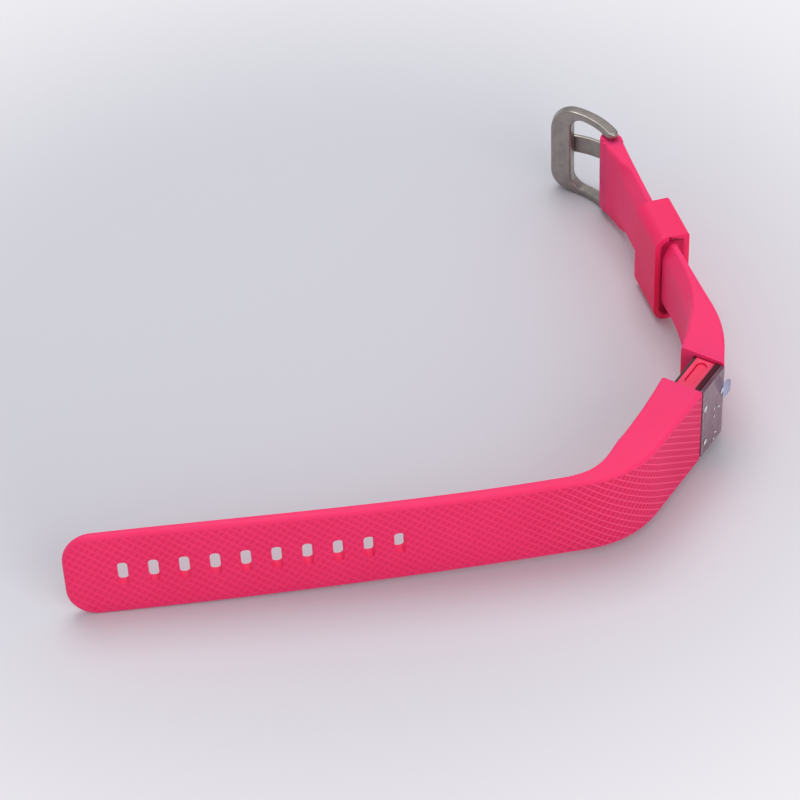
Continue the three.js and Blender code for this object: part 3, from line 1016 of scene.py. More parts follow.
    def build(self) -> bpy.types.Object:
        """Models the strap and puts it in place of its two CAD nodes.

        Returns:
            The strap.
        """
        bm = self.plate(self.track().length, self.stations())
        self.cut_slots(bm)
        self.round_slots(bm)
        self.round_rims(bm)
        self.bend(bm)
        face = self.open_mouth(bm, -1)
        for hollow in self.hollows:
            face = self.socket(bm, face, hollow)
        piece = finish_mesh(bm, "long_strap")
        dress(piece, Finish.STRAP)
        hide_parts("long_strap_root", "long_strap_tail")
        start, end = self.flex_ends()
        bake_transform(piece)
        LOG.info("%s bends between its two bodies: %d faces", piece.name, len(piece.data.polygons))
        return piece


@dataclass
class BuckleStrap(Strap):
    """The short strap with its sleeve, its taper and its spring bar end."""

    lead_length: float = 6 * MM
    lead_heading: float = 27.0
    bend_radius: float = 34 * MM
    bend_turn: float = 23.5
    tail: float = 62 * MM
    tail_turn: float = -5.2
    sleeve_thick: float = 9.8 * MM
    thin: float = 3.2 * MM
    taper_end: float = 36 * MM
    barrel: float = 4.8 * MM
    barrel_run: float = 9 * MM
    bar_hole: float = 1.1 * MM
    notch_half: float = 2.8 * MM
    notch_run: float = 3.2 * MM
    crown: float = 1.7 * MM
    crown_run: tuple[float, float] = (14 * MM, 26 * MM)
    crown_fade: float = 4 * MM
    crown_across: tuple[float, float] = (5.6 * MM, 10.4 * MM)
    crown_cuts: tuple[float, ...] = (5.6 * MM, 6.6 * MM, 7.4 * MM, 8.8 * MM)
    knuckle_rim: float = 0.7 * MM
    skin_reach: float = 1.1 * MM
    skin_inset: float = 0.2 * MM
    notch_depth: float = 4.25 * MM
    trough: tuple[float, float] = (6 * MM, 13.5 * MM)
    flex: float = 30 * MM
    flex_run: tuple[float, float] = (-7 * MM, 3.2 * MM)
    inner_radius: float = 0.8 * MM
    hollows: tuple[Hollow, ...] = (
        Hollow(2.2 * MM, 7.7 * MM, 3 * MM, 21 * MM, 1.6 * MM),
        Hollow(4.6 * MM, 6.9 * MM, 4.7 * MM, 19.3 * MM, 5.1 * MM),
    )

    def track(self) -> Track:
        """The strap's outer face line.

        Returns:
            The track.
        """
        arc = self.bend_radius * math.radians(self.bend_turn)
        line = Track((5 * MM, 0.2 * MM), self.lead_heading, 1)
        return line.add(self.lead_length).add(arc, self.bend_turn).add(self.tail, self.tail_turn)

    def thickness(self, distance: float) -> float:
        """One long taper, then a swelling round the spring bar.

        Args:
            distance: how far along the strap.

        Returns:
            The thickness there.
        """
        length = self.track().length
        taper = smoothstep(distance, -2 * MM, self.taper_end)
        barrel = smoothstep(distance, length - self.barrel_run, length - 1 * MM)
        strap = self.sleeve_thick * (1 - taper) + self.thin * taper
        return strap * (1 - barrel) + self.barrel * barrel

    def stations(self) -> list[float]:
        """Distances to cut across: the trough's ends, and none past the notch's start.

        Returns:
            The distances.
        """
        end = self.track().length - self.notch_run
        made = [self.step * index for index in range(-1, int(end / self.step))]
        clear = [x for x in made if all(abs(x - place) > 0.4 * MM for place in self.trough)]
        return clear + [*self.trough, end]

    def lean(self, flat: Vector) -> float:
        """Past the trough the wrist face is crowned: it falls away towards the two long edges.

        Args:
            flat: a flat point.

        Returns:
            How far it moves, below 0 for away from the wrist.
        """
        end = self.track().length - self.barrel_run
        share = smoothstep(flat.x, *self.crown_run) * (1 - smoothstep(flat.x, end - self.crown_fade, end))
        depth = self.crown * share * flat.y / self.thickness(flat.x)
        return -depth * smoothstep(abs(flat.z - self.middle), *self.crown_across)

    def cut_crown(self, bm: BMesh) -> None:
        """Cuts the plate along its length, so that its crown comes out round.

        Args:
            bm: the flat strap.
        """
        for across in self.crown_cuts:
            for side in (-1, 1):
                cut(bm, (0.0, 0.0, self.middle + side * across), (0.0, 0.0, 1.0))

    def cut_notch(self, bm: BMesh, length: float, start: float) -> None:
        """Opens the strap's end for the tongue, behind a thin skin on the wrist side.

        Args:
            bm: the flat strap.
            length: where the strap ends.
            start: where the notch starts.
        """
        low, high = self.middle - self.notch_half, self.middle + self.notch_half
        depth = self.notch_depth
        for height in (low, high):
            cut(bm, (0.0, 0.0, height), (0.0, 0.0, 1.0))
        cap = [f for f in bm.faces if near(f.calc_center_median().x, length)
               and low < f.calc_center_median().z < high]
        rim = {edge for face in cap for edge in face.edges}
        corners = {vert for face in cap for vert in face.verts}
        bmesh.ops.bisect_plane(
            bm, geom=[*cap, *rim, *corners], dist=1e-7, plane_co=(0, depth, 0), plane_no=(0, 1, 0))
        inside = []
        for face in bm.faces:
            centre = face.calc_center_median()
            if centre.x > start and low < centre.z < high and centre.y < depth:
                inside.append(face)
        bmesh.ops.delete(bm, geom=inside, context="FACES")

        def corner(x: float, y: float, z: float) -> BMVert:
            """Finds the vertex at a corner of the notch, or makes it.

            Args:
                x: how far along the strap.
                y: its depth.
                z: its height.

            Returns:
                The vertex.
            """
            place = Vector((x, y, z))
            nearest = min(bm.verts, key=lambda vert: (vert.co - place).length)
            return nearest if (nearest.co - place).length < 0.01 * MM else bm.verts.new(place)

        places = ((start, low), (start, high), (length, high), (length, low))
        outer = [corner(x, 0, z) for x, z in places]
        deep = [corner(vert.co.x, depth, vert.co.z) for vert in outer]
        for index in (3, 0, 1):
            following = (index + 1) % 4
            bm.faces.new((outer[index], outer[following], deep[following], deep[index]))
        bm.faces.new(deep)

    def add_knuckle(self, bm: BMesh, start: float, low: float, high: float, outer_end: float) -> None:
        """Adds one round knuckle with the spring bar's bore, its rim rounder at the strap's edge.

        Args:
            bm: the flat strap.
            start: where the strap's plate ends and the knuckle takes over.
            low: the knuckle's lower end.
            high: its upper end.
            outer_end: the end that lies at the strap's edge.
        """
        radius = self.barrel / 2
        centre = self.track().length
        turns = [math.pi * index / 18 for index in range(19)]
        outline = [(start, 0.0)]
        outline += [(centre + radius * math.sin(turn), radius - radius * math.cos(turn)) for turn in turns]
        outline.append((start, self.thickness(start)))
        turns = [2 * math.pi * index / 28 for index in range(28)]
        hole = self.bar_hole
        bore = [(centre + hole * math.cos(turn), radius + hole * math.sin(turn)) for turn in turns]
        edges = []
        for loop in (outline, bore):
            verts = [bm.verts.new((x, y, low)) for x, y in loop]
            edges += [bm.edges.new((vert, verts[index - 1])) for index, vert in enumerate(verts)]
        filled = bmesh.ops.triangle_fill(bm, use_beauty=True, use_dissolve=True, edges=edges)["geom"]
        face = [g for g in filled if isinstance(g, BMFace)]
        made = bmesh.ops.extrude_face_region(bm, geom=face)["geom"]
        top = [g for g in made if isinstance(g, BMVert)]
        bmesh.ops.translate(bm, vec=(0.0, 0.0, high - low), verts=top)
        verts = {v for f in face for v in f.verts} | set(top)
        rims = []
        for edge in {e for v in verts for e in v.link_edges}:
            ends = edge.verts
            if not all(near(v.co.z, outer_end) and v.co.x > start + 0.01 * MM for v in ends):
                continue
            if all(math.hypot(v.co.x - centre, v.co.y - radius) > 2 * self.bar_hole for v in ends):
                rims.append(edge)
        bmesh.ops.recalc_face_normals(bm, faces=list({f for v in verts for f in v.link_faces}))
        bevel(bm, rims, self.knuckle_rim, self.rim_steps)

    def build(self) -> bpy.types.Object:
        """Models the strap and puts it in place of its two CAD nodes.

        Returns:
            The strap.
        """
        length = self.track().length
        start = length - self.barrel / 2
        bm = self.plate(start, self.stations())
        self.sink_trough(bm, *self.trough)
        self.cut_crown(bm)
        self.cut_notch(bm, start, length - self.notch_run)
        self.round_rims(bm)
        low, high = self.middle - self.notch_half, self.middle + self.notch_half
        self.add_knuckle(bm, start, self.low, low, self.low)
        self.add_knuckle(bm, start, high, self.high, self.high)
        skin_low = (start - 0.1 * MM, self.notch_depth, low)
        box(bm, skin_low, (length + self.skin_reach, self.barrel - self.skin_inset, high))
        self.bend(bm)
        face = self.open_mouth(bm, 1)
        for hollow in self.hollows:
            face = self.socket(bm, face, hollow)
        piece = finish_mesh(bm, "buckle_strap")
        dress(piece, Finish.STRAP)
        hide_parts("buckle_strap_root", "buckle_strap_tail")
        start, end = self.flex_ends()
        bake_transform(piece)
        LOG.info("%s bends between its two bodies: %d faces", piece.name, len(piece.data.polygons))
        return piece


# ----------------------------------------------------------------------------- keeper
@dataclass
class Keeper:
    """The loop that holds the long strap's end."""

    length: float = 13.2 * MM
    thick: float = 8 * MM
    height: float = 24 * MM
    wall: float = 1.3 * MM
    along: float = 48 * MM
    offset: float = 0.9 * MM
    wrist_radius: float = 3.2 * MM
    outer_radius: float = 0.8 * MM
    inner_wrist_radius: float = 1.9 * MM
    inner_outer_radius: float = 0.4 * MM
    rim: float = 0.25 * MM

    def shell(self, bm: BMesh, inset: float, wrist_radius: float, outer_radius: float) -> list[BMEdge]:
        """Adds an open box tube with round corners.

        Args:
            bm: the mesh to add to.
            inset: how far inside the outer walls it lies.
            wrist_radius: the radius of its corners towards the wrist.
            outer_radius: the radius of the other two.

        Returns:
            The rim edges.
        """
        half = self.length / 2
        low = (-half, -self.thick / 2 + inset, inset)
        high = (half, self.thick / 2 - inset, self.height - inset)
        verts = box(bm, low, high)
        ends = {f for v in verts for f in v.link_faces if abs(f.normal.x) > 0.9}
        bmesh.ops.delete(bm, geom=list(ends), context="FACES_ONLY")
        runs = {e for v in verts for e in v.link_edges if abs(e.verts[0].co.x - e.verts[1].co.x) > half}
        wrist = [e for e in runs if e.verts[0].co.y > 0]
        outer = [e for e in runs if e.verts[0].co.y < 0]
        bevel(bm, wrist, wrist_radius, 6)
        bevel(bm, outer, outer_radius, 6)
        return [e for e in bm.edges if e.is_boundary]

    def build(self, track: Track) -> bpy.types.Object:
        """Models the loop and puts it on the buckle strap.

        Args:
            track: the buckle strap's outer face line.

        Returns:
            The loop.
        """
        bm = bmesh.new()
        self.shell(bm, 0.0, self.wrist_radius, self.outer_radius)
        self.shell(bm, self.wall, self.inner_wrist_radius, self.inner_outer_radius)
        for side in (-1, 1):
            rims = [e for e in bm.edges if e.is_boundary
                    and all(near(v.co.x, side * self.length / 2) for v in e.verts)]
            bmesh.ops.bridge_loops(bm, edges=rims)
        bmesh.ops.recalc_face_normals(bm, faces=bm.faces)
        bevel(bm, sharp_edges(bm, 60.0), self.rim, 3)
        bm.normal_update()
        middle = Vector((0.0, 0.0, self.height / 2))
        for face in bm.faces:
            faces_in = face.normal.dot(face.calc_center_median() - middle) < 0
            # the inner walls take the painted-glow silicone
            face.material_index = 1 if faces_in and abs(face.normal.x) < 0.5 else 0
        place = track.at(self.along)
        centre = track.under(self.along, self.offset)
        turn = Matrix.Rotation(place.heading, 4, "Z")
        bmesh.ops.transform(bm, matrix=Matrix.Translation(centre) @ turn, verts=bm.verts)
        piece = finish_mesh(bm, "keeper")
        dress(piece, Finish.KEEPER, Finish.KEEPER_INSIDE)
        stand_in(piece, "keeper", "silicone", "keeper_loop")
        return piece


# ----------------------------------------------------------------------------- buckle
@dataclass
class Buckle:
    """The arched frame and the bent tongue on the spring bar."""

    radius: float = 18.3 * MM
    thick: float = 2.8 * MM
    arm: float = 1.8 * MM
    window: float = 37.8
    end: float = 54.0
    rest: float = 13.0
    height: float = 24 * MM
    corner: float = 6 * MM
    inner_corner: float = 3.5 * MM
    heel: float = 2 * MM
    edge: float = 0.5 * MM
    tongue_width: float = 4.8 * MM
    tongue_thick: float = 1 * MM
    tongue_shape: tuple = ((0.8, -0.9), (3.2, -4.6), (10.0, -2.6))
    tongue_length: float = 19.4 * MM
    tongue_tip: float = 1.5 * MM
    tongue_edge: float = 0.3 * MM
    tongue_gap: float = 0.25 * MM
    tongue_end: float = 51.0
    ring: float = 1.7 * MM
    bore: float = 1.05 * MM
    barrel: float = 4.8 * MM

    def hinge(self, track: Track) -> Matrix:
        """The buckle's place: its bar at the strap's end, turned to its rest angle.

        Args:
            track: the buckle strap's outer face line.

        Returns:
            The place.
        """
        centre = track.under(track.length, self.barrel / 2)
        turn = track.at(track.length).heading + math.radians(self.rest)
        return Matrix.Translation(centre) @ Matrix.Rotation(turn, 4, "Z")

    def arch(self, distance: float, inward: float) -> Vector:
        """Finds a point of the arch.

        Args:
            distance: how far round the arch, below 0 for its straight heel.
            inward: the depth towards the wrist.

        Returns:
            The point, at no height.
        """
        if distance < 0:
            return Vector((distance, inward, 0.0))
        angle = distance / self.radius
        radius = self.radius - inward
        return Vector((radius * math.sin(angle), self.radius - radius * math.cos(angle), 0.0))

    def build_frame(self, place: Matrix) -> bpy.types.Object:
        """Models the frame flat, rounds it and bends it to its arch.

        Args:
            place: the buckle's place.

        Returns:
            The frame.
        """
        far = self.radius * math.radians(self.end)
        inner = self.radius * math.radians(self.window)
        half = self.thick / 2
        bm = bmesh.new()
        top, arm = self.height, self.arm
        outline = [
            (-self.heel, 0.0), (far, 0.0), (far, top), (-self.heel, top),
            (-self.heel, top - arm), (inner, top - arm), (inner, arm), (-self.heel, arm),
        ]
        verts = [bm.verts.new((x, -half, z)) for x, z in outline]
        face = bm.faces.new(verts)
        made = bmesh.ops.extrude_face_region(bm, geom=[face])["geom"]
        bmesh.ops.translate(
            bm, vec=(0.0, self.thick, 0.0), verts=[g for g in made if isinstance(g, BMVert)])
        across = [e for e in bm.edges if abs(e.verts[0].co.y - e.verts[1].co.y) > half]
        outer = [e for e in across if near(e.verts[0].co.x, far)]
        bevel(bm, outer, self.corner, 10)
        inside = [e for e in bm.edges if near(e.verts[0].co.x, inner) and near(e.verts[1].co.x, inner)
                  and abs(e.verts[0].co.y - e.verts[1].co.y) > half]
        bevel(bm, inside, self.inner_corner, 8)
        heel = [e for e in bm.edges if near(e.verts[0].co.x, -self.heel)
                and near(e.verts[1].co.x, -self.heel) and abs(e.verts[0].co.z - e.verts[1].co.z) > 1 * MM]
        bevel(bm, heel, half * 0.97, 6)
        bmesh.ops.recalc_face_normals(bm, faces=bm.faces)
        bevel(bm, sharp_edges(bm, 60.0), self.edge, 3)
        count = 18
        for index in range(count):
            cut(bm, (far * index / count, 0.0, 0.0), (1.0, 0.0, 0.0))
        bmesh.ops.recalc_face_normals(bm, faces=bm.faces)
        for face in bm.faces:
            parts = [abs(part) for part in face.normal]
            # the bevelled edges take the lighter metal that paints their highlight
            face.material_index = 1 if 0.2 < parts[1] < 0.97 and face.calc_center_median().x > 0 else 0
        for vert in bm.verts:
            vert.co = self.arch(vert.co.x, vert.co.y) + Vector((0.0, 0.0, vert.co.z))
        bmesh.ops.transform(bm, matrix=place, verts=bm.verts)
        piece = finish_mesh(bm, "buckle_arch", 50.0)
        dress(piece, Finish.SATIN, Finish.POLISH)
        stand_in(piece, "buckle", "buckle_metal", "buckle_frame")
        return piece

    def blade(self, share: float) -> tuple[Vector, Vector]:
        """A point of the tongue's middle line, and the way it runs.

        Args:
            share: 0 at the bar, 1 at the tip.

        Returns:
            The point and the unit direction.
        """
        reach = self.radius * math.radians(self.tongue_end)
        lift = self.thick / 2 + self.tongue_thick / 2 + self.tongue_gap
        points = [Vector((x * MM, y * MM, 0.0)) for x, y in self.tongue_shape] + [self.arch(reach, -lift)]
        rest = 1 - share
        weights = (rest ** 3, 3 * share * rest ** 2, 3 * share ** 2 * rest, share ** 3)
        point = sum((p * w for p, w in zip(points, weights)), Vector())
        steps = [after - before for before, after in zip(points, points[1:])]
        slopes = (rest ** 2, 2 * share * rest, share ** 2)
        run = sum((p * w for p, w in zip(steps, slopes)), Vector())
        return point, run.normalized()

    def build_tongue(self, place: Matrix) -> bpy.types.Object:
        """Models the tongue: a bent blade with a round tip, and a ring round the bar.

        Args:
            place: the buckle's place.

        Returns:
            The tongue.
        """
        bm = bmesh.new()
        middle = self.height / 2
        half, width = self.tongue_thick / 2, self.tongue_width / 2
        length = self.tongue_length
        box(bm, (0.0, -half, middle - width), (length, half, middle + width))
        corners = [e for e in bm.edges if all(near(v.co.x, length) for v in e.verts)
                   and near(e.verts[0].co.z, e.verts[1].co.z)]
        bevel(bm, corners, self.tongue_tip, 6)
        bevel(bm, sharp_edges(bm, 60.0), self.tongue_edge, 3)
        count = 16
        for index in range(1, count):
            cut(bm, (length * index / count, 0.0, 0.0), (1.0, 0.0, 0.0))
        for vert in bm.verts:
            point, run = self.blade(vert.co.x / length)
            inward = Vector((-run.y, run.x, 0.0))
            vert.co = point + inward * vert.co.y + Vector((0.0, 0.0, vert.co.z))
        low, high = middle - width, middle + width
        corner = [(self.bore, low), (self.ring, low), (self.ring, high), (self.bore, high)]
        section = [bm.verts.new((x, 0.0, z)) for x, z in corner]
        edges = [bm.edges.new((section[i], section[(i + 1) % 4])) for i in range(4)]
        bmesh.ops.spin(bm, geom=section + edges, cent=(0, 0, 0), axis=(0, 0, 1), angle=2 * math.pi,
                       steps=28, use_merge=True)
        bmesh.ops.transform(bm, matrix=place, verts=bm.verts)
        piece = finish_mesh(bm, "buckle_pin", 45.0)
        dress(piece, Finish.SATIN)
        stand_in(piece, "tongue", "buckle_metal", "buckle_tongue")
        return piece


# ----------------------------------------------------------------------------- display module
class Shape(Enum):
    """The shapes of the marks that are printed on the protective film."""

    OVAL = "oval"
    DOT = "dot"
    BAR = "bar"


@dataclass
class Module:
    """The small display module between the two straps."""

    film_low: float = 2.7 * MM
    film_high: float = 21.3 * MM
    key_x: float = 0.35 * MM
    key_y: float = 4.5 * MM
    key_length: float = 7.3 * MM
    key_width: float = 2.4 * MM
    key_play: float = 0.12 * MM
    key_height: float = 0.36 * MM
    key_crown: float = 0.26 * MM
    recess: float = 1.3 * MM
    plate_rim: float = 0.14 * MM
    glass_corner: float = 0.35 * MM
    glass_rim: float = 0.12 * MM
    film_corner: float = 0.6 * MM
    film_edge: float = 0.45 * MM
    film_proud: float = 0.03 * MM
    tab_length: float = 2.3 * MM
    tab_low: float = 12.4 * MM
    tab_high: float = 17.2 * MM
    marks: tuple = (
        (Shape.OVAL, -3.6, 15.9), (Shape.OVAL, -3.1, 5.8), (Shape.OVAL, 3.9, 15.2),
        (Shape.DOT, 0.5, 12.6), (Shape.DOT, 0.7, 10.3), (Shape.DOT, 0.8, 3.6),
        (Shape.BAR, 2.6, 11.7), (Shape.BAR, 1.6, 5.0),
    )

    def build_glass(self) -> bpy.types.Object:
        """The display glass with softly rounded edges.

        Returns:
            The glass.
        """
        low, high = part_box("display_glass")
        bm = bmesh.new()
        box(bm, low, high)
        upright = [e for e in bm.edges if abs(e.verts[0].co.y - e.verts[1].co.y) > 0.5 * MM]
        bevel(bm, upright, self.glass_corner, 4)
        bevel(bm, sharp_edges(bm, 60.0), self.glass_rim, 2)
        piece = finish_mesh(bm, "display_window")
        dress(piece, Finish.GLASS)
        stand_in(piece, "module", "display_glass", "display_glass")
        return piece

    def build_film(self) -> bpy.types.Object:
        """The protective film, one thin sheet just off the glass.

        Returns:
            The film.
        """
        low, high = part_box("display_glass")
        bm = bmesh.new()
        front = low.y - 0.12 * MM
        left, right = low.x + 0.12 * MM, high.x - 0.12 * MM
        box(bm, (left, front, self.film_low), (right, low.y - 0.04 * MM, self.film_high))
        upright = [e for e in bm.edges if abs(e.verts[0].co.y - e.verts[1].co.y) > 0.05 * MM]
        bevel(bm, upright, self.film_corner, 5)
        sheet = set(bm.faces)
        corner, rim, proud = self.film_corner, self.film_edge, self.film_proud
        bottom, top = self.film_low + corner, self.film_high - corner
        box(bm, (left - proud, front - proud, bottom), (left + rim, front + proud, top))
        box(bm, (left + corner, front - proud, self.film_high - rim),
            (right - corner, front + proud, self.film_high + proud))
        for face in bm.faces:
            face.material_index = 0 if face in sheet else 1
        piece = finish_mesh(bm, "film_sheet")
        dress(piece, Finish.FILM, Finish.FILM_EDGE)
        stand_in(piece, "module", "clear_film", "screen_film")
        return piece

    def build_tab(self) -> bpy.types.Object:
        """The film's lifted pull tab, which curls out from its edge.

        Returns:
            The tab.
        """
        origin = module_origin()
        bm = bmesh.new()
        length, low, high = self.tab_length, self.tab_low, self.tab_high
        box(bm, (0.0, -0.05 * MM, low), (length, 0.05 * MM, high))
        for height, radius in ((low, 2.1 * MM), (high, 0.9 * MM)):
            corner = [e for e in bm.edges
                      if all(near(v.co.x, length) and near(v.co.z, height) for v in e.verts)]
            bevel(bm, corner, radius, 6)
        count = 10
        for index in range(1, count):
            cut(bm, (length * index / count, 0.0, 0.0), (1.0, 0.0, 0.0))
        for vert in bm.verts:
            share = vert.co.x / length
            curl = Vector(((0.5 * share - 0.9 * share ** 2) * MM, -1.8 * MM * share ** 1.3, 2.3 * MM * share))
            base = Vector((4.5 * MM - vert.co.y, -0.14 * MM, vert.co.z))
            vert.co = origin + base + curl
        piece = finish_mesh(bm, "film_tab", 80.0)
        dress(piece, Finish.TAB)
        stand_in(piece, "module", "clear_film")
        return piece

    def build_marks(self) -> bpy.types.Object:
        """Small plain marks on the film: ovals, dots and short bars.

        Returns:
            The marks, as one piece.
        """
        origin = module_origin()
        sizes = {Shape.OVAL: (0.55, 0.75), Shape.DOT: (0.28, 0.3), Shape.BAR: (0.6, 0.2)}
        bm = bmesh.new()
        for shape, x, z in self.marks:
            wide, tall = sizes[shape]
            made = bmesh.ops.create_circle(bm, cap_ends=True, radius=1.0 * MM, segments=20)["verts"]
            lean = Matrix.Rotation(math.radians(-35.0), 4, "Z")
            shrink = Matrix.Diagonal((wide, tall, 1.0, 1.0))
            upright = Matrix.Rotation(math.radians(90.0), 4, "X")
            where = Matrix.Translation(origin + Vector((x * MM, -0.125 * MM, z * MM)))
            bmesh.ops.transform(bm, matrix=where @ upright @ lean @ shrink, verts=made)
        flat = list(bm.faces)
        raised = bmesh.ops.extrude_face_region(bm, geom=flat)["geom"]
        front = [g for g in raised if isinstance(g, BMVert)]
        bmesh.ops.translate(bm, vec=(0.0, -0.02 * MM, 0.0), verts=front)
        piece = finish_mesh(bm, "film_print")
        dress(piece, Finish.MARK)
        stand_in(piece, "module", "clear_film")
        return piece

    def stadium(self, bm: BMesh, low: float, high: float, play: float) -> list[BMVert]:
        """Adds an upright stadium prism for the button or its recess.

        Args:
            bm: the mesh to add to.
            low: its lower end.
            high: its upper end.
            play: how much smaller than the recess it is all round.

        Returns:
            Its vertices.
        """
        origin = module_origin()
        half_l, half_w = self.key_length / 2 - play, self.key_width / 2 - play
        centre = origin + Vector((self.key_x, self.key_y, 0.0))
        before = set(bm.verts)
        box(bm, (centre.x - half_l, centre.y - half_w, low), (centre.x + half_l, centre.y + half_w, high))
        new = [v for v in bm.verts if v not in before]
        upright = {e for v in new for e in v.link_edges if abs(e.verts[0].co.z - e.verts[1].co.z) > 0.3 * MM}
        bevel(bm, upright, half_w * 0.995, 10)
        return [v for v in bm.verts if v not in before]

    def build_button(self) -> bpy.types.Object:
        """The side button, with a soft crown.

        Returns:
            The button.
        """
        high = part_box("side_button")[1]
        bm = bmesh.new()
        self.stadium(bm, high.z - self.key_height, high.z, self.key_play)
        rims = [e for e in sharp_edges(bm, 60.0) if all(near(v.co.z, high.z) for v in e.verts)]
        bevel(bm, rims, self.key_crown, 4)
        piece = finish_mesh(bm, "button_cap")
        dress(piece, Finish.BUTTON)
        stand_in(piece, "side_button", "side_plate", "side_button")
        return piece

    def build_plate(self) -> bpy.types.Object:
        """The upper side plate with the button's recess.

        Returns:
            The plate.
        """
        low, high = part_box("button_side_plate")
        bm = bmesh.new()
        box(bm, low, high)
        top = next(f for f in bm.faces if f.normal.z > 0.9)
        bmesh.ops.inset_individual(bm, faces=[top], thickness=0.3 * MM)
        origin = module_origin()
        centre = origin + Vector((self.key_x, self.key_y, 0.0))
        half_l, half_w = self.key_length / 2, self.key_width / 2
        middle = top.calc_center_median()
        for vert in top.verts:
            side_x = 1 if vert.co.x > middle.x else -1
            side_y = 1 if vert.co.y > middle.y else -1
            vert.co.x = centre.x + side_x * half_l
            vert.co.y = centre.y + side_y * half_w
        floor = bmesh.ops.extrude_discrete_faces(bm, faces=[top])["faces"][0]
        bmesh.ops.translate(bm, vec=(0.0, 0.0, -self.recess), verts=floor.verts)
        walls = [e for e in bm.edges if abs(e.verts[0].co.z - e.verts[1].co.z) > 0.9 * MM
                 and all(abs(v.co.x - centre.x) < half_l + 0.01 * MM for v in e.verts)
                 and all(abs(v.co.y - centre.y) < half_w + 0.01 * MM for v in e.verts)]
        bevel(bm, walls, half_w * 0.995, 10)
        rims = [e for e in sharp_edges(bm, 60.0) if all(near(v.co.z, high.z) for v in e.verts)]
        bevel(bm, rims, self.plate_rim, 2)
        piece = finish_mesh(bm, "upper_side_plate")
        dress(piece, Finish.SIDE)
        stand_in(piece, "module", "side_plate", "button_side_plate")
        return piece

    def dress_nodes(self) -> None:
        """Gives the CAD nodes that stay their finishes."""
        for pattern, finish in (
            ("core_housing", Finish.BLACK), ("back_cover", Finish.BLACK), ("display_bezel", Finish.BEZEL),
            ("usb_contact_tongue", Finish.BLACK), ("oled_panel", Finish.PANEL),
            ("circuit_board", Finish.BOARD), ("processor_chip", Finish.CHIP), ("tact_switch", Finish.CHIP),
            ("battery_cell", Finish.CELL), ("vibration_motor", Finish.STEEL),
            ("plain_side_plate", Finish.SIDE), ("contact_pad_", Finish.GOLD), ("cover_screw_", Finish.STEEL),
            ("spring_bar_", Finish.STEEL),
        ):
            for name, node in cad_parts.items():
                if name.startswith(pattern):
                    dress(node, finish)

    def build(self) -> None:
        """Builds every piece of the module."""
        for make in (self.build_glass, self.build_film, self.build_tab, self.build_marks,
                     self.build_button, self.build_plate):
            make()
        self.dress_nodes()


# ----------------------------------------------------------------------------- studio
@dataclass(frozen=True)
class SoftBox:
    """A square soft light that faces the band."""

    name: str
    place: tuple[float, float, float]
    size: float
    power: float
    colour: tuple[float, float, float]

    def build(self) -> None:
        """Hangs the light."""
        data = bpy.data.lights.new(self.name, "AREA")
        data.shape = "SQUARE"
        data.size = self.size
        data.energy = self.power
        data.color = self.colour
        lamp = bpy.data.objects.new(self.name, data)
        lamp.location = self.place
        lamp.rotation_euler = (-Vector(self.place)).to_track_quat("-Z", "Y").to_euler()
        bpy.context.scene.collection.objects.link(lamp)


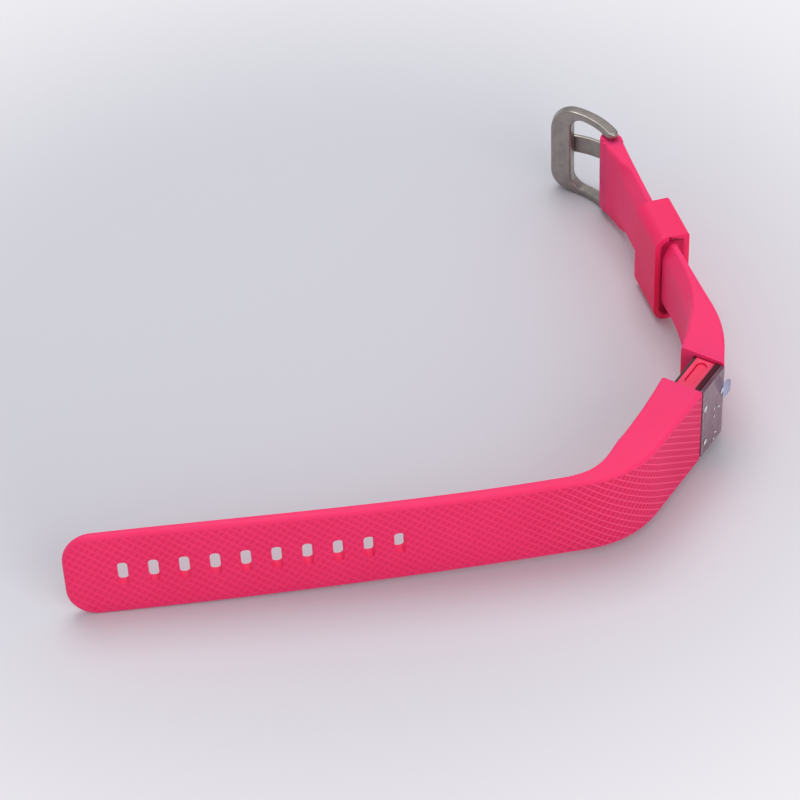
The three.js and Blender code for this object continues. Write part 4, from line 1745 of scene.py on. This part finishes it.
@dataclass
class Studio:
    """A pale floor, soft light and the camera."""

    azimuth: float = -55.7
    elevation: float = 42.99
    roll: float = -2.865
    distance: float = 638.87 * MM
    aim: tuple[float, float, float] = (-21.36 * MM, 65.74 * MM, 2 * MM)
    lens: float = 130.54
    sensor: float = 36.0
    floor_size: float = 6.0
    # painted shade on the floor: darker round the band, lightening outwards over this ring
    shade_fade_ring: tuple[float, float] = (70 * MM, 190 * MM)
    shade_centre_shift: tuple[float, float, float] = (8 * MM, 24 * MM, 0.0)
    world: float = 0.53
    painted_shade_colour: Colour = (0.62, 0.625, 0.665, 1.0)
    far_colour: Colour = (0.86, 0.855, 0.86, 1.0)
    surround: Colour = (0.93, 0.93, 1.0, 1.0)
    lights: tuple[SoftBox, ...] = (
        SoftBox("key_light", (0.3, 0.35, 1.2), 0.8, 7.5, (1.0, 0.99, 0.98)),
        SoftBox("front_light", (-0.45, -1.0, 0.55), 0.9, 6.2, (1.0, 0.98, 0.99)),
    )

    def floor_normal(self) -> tuple[Vector, Vector]:
        """The level through the three places where the band stands.

        Returns:
            A point of it and its normal.
        """
        keeper_low, keeper_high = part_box("keeper_loop")
        buckle_low, buckle_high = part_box("buckle_frame")
        tail_low, tail_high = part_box("long_strap_tail")
        first = Vector(((keeper_low.x + keeper_high.x) / 2, keeper_low.y, keeper_low.z))
        second = Vector((buckle_high.x, (buckle_low.y + buckle_high.y) / 2, buckle_low.z))
        third = Vector((tail_low.x + 6 * MM, tail_high.y - 6 * MM, tail_low.z))
        normal = (second - first).cross(third - first).normalized()
        return first, normal if normal.z > 0 else -normal

    def build_floor(self) -> None:
        """A wide pale floor with painted shade round the band that fades out towards the surroundings."""
        point, normal = self.floor_normal()
        bm = bmesh.new()
        bmesh.ops.create_grid(bm, x_segments=8, y_segments=8, size=self.floor_size / 2)
        turn = normal.to_track_quat("Z", "Y").to_matrix().to_4x4()
        drop = Vector((0.0, 0.0, -0.02 * MM))
        bmesh.ops.transform(bm, matrix=Matrix.Translation(point + drop) @ turn, verts=bm.verts)
        data = bpy.data.meshes.new("studio_floor")
        bm.to_mesh(data)
        bm.free()
        floor = bpy.data.objects.new("studio_floor", data)
        bpy.context.scene.collection.objects.link(floor)
        graph = Graph("studio_floor_paper")
        cloud = graph.noise(graph.place(), 7.0, 3.0)
        x, y, _ = graph.split(graph.place())
        middle = module_origin() + Vector(self.aim) + Vector(self.shade_centre_shift)
        away = ((x - middle.x) ** 2 + (y - middle.y) ** 2) ** 0.5
        # painted shade: darker near the band, paler further away, with a little random mottling
        pale = away.smooth(*self.shade_fade_ring) + (cloud - 0.5) * 0.12
        colour = graph.blend(pale, self.painted_shade_colour, self.far_colour)
        paper = graph.surface({"Base Color": colour, "Roughness": 0.75, "Specular IOR Level": 0.2})
        floor.data.materials.append(paper)

    def build_world(self) -> None:
        """An even, slightly cool surround."""
        world = bpy.data.worlds.new("studio_surround")
        world.use_nodes = True
        background = world.node_tree.nodes["Background"]
        background.inputs["Color"].default_value = self.surround
        background.inputs["Strength"].default_value = self.world
        bpy.context.scene.world = world

    def build_camera(self) -> None:
        """The camera, looking down on the band from its front left."""
        turn, tip, roll = (math.radians(a) for a in (self.azimuth, self.elevation, self.roll))
        forward = Vector((-math.sin(turn) * math.cos(tip), math.cos(turn) * math.cos(tip), -math.sin(tip)))
        right = Vector((math.cos(turn), math.sin(turn), 0.0))
        up = right.cross(forward)
        axis_x = right * math.cos(roll) + up * math.sin(roll)
        axis_y = up * math.cos(roll) - right * math.sin(roll)
        data = bpy.data.cameras.new("camera")
        data.lens, data.sensor_width = self.lens, self.sensor
        data.clip_start, data.clip_end = 10 * MM, 20.0
        camera = bpy.data.objects.new("camera", data)
        camera.rotation_euler = Matrix((axis_x, axis_y, -forward)).transposed().to_euler()
        camera.location = module_origin() + Vector(self.aim) - forward * self.distance
        bpy.context.scene.collection.objects.link(camera)
        bpy.context.scene.camera = camera

    def build(self) -> None:
        """Sets the whole stage."""
        self.build_camera()
        self.build_floor()
        self.build_world()
        for light in self.lights:
            light.build()
        bpy.context.scene.view_settings.view_transform = "Standard"


def main() -> None:
    """Builds the stage, then each sub-assembly."""
    logging.basicConfig(level=logging.INFO, format="%(name)s: %(message)s")
    Studio().build()
    LongStrap().build()
    strap = BuckleStrap()
    strap.build()
    Keeper().build(strap.track())
    buckle = Buckle()
    place = buckle.hinge(strap.track())
    buckle.build_frame(place)
    buckle.build_tongue(place)
    Module().build()
    bpy.context.view_layer.update()


if __name__ == "__main__":
    main()
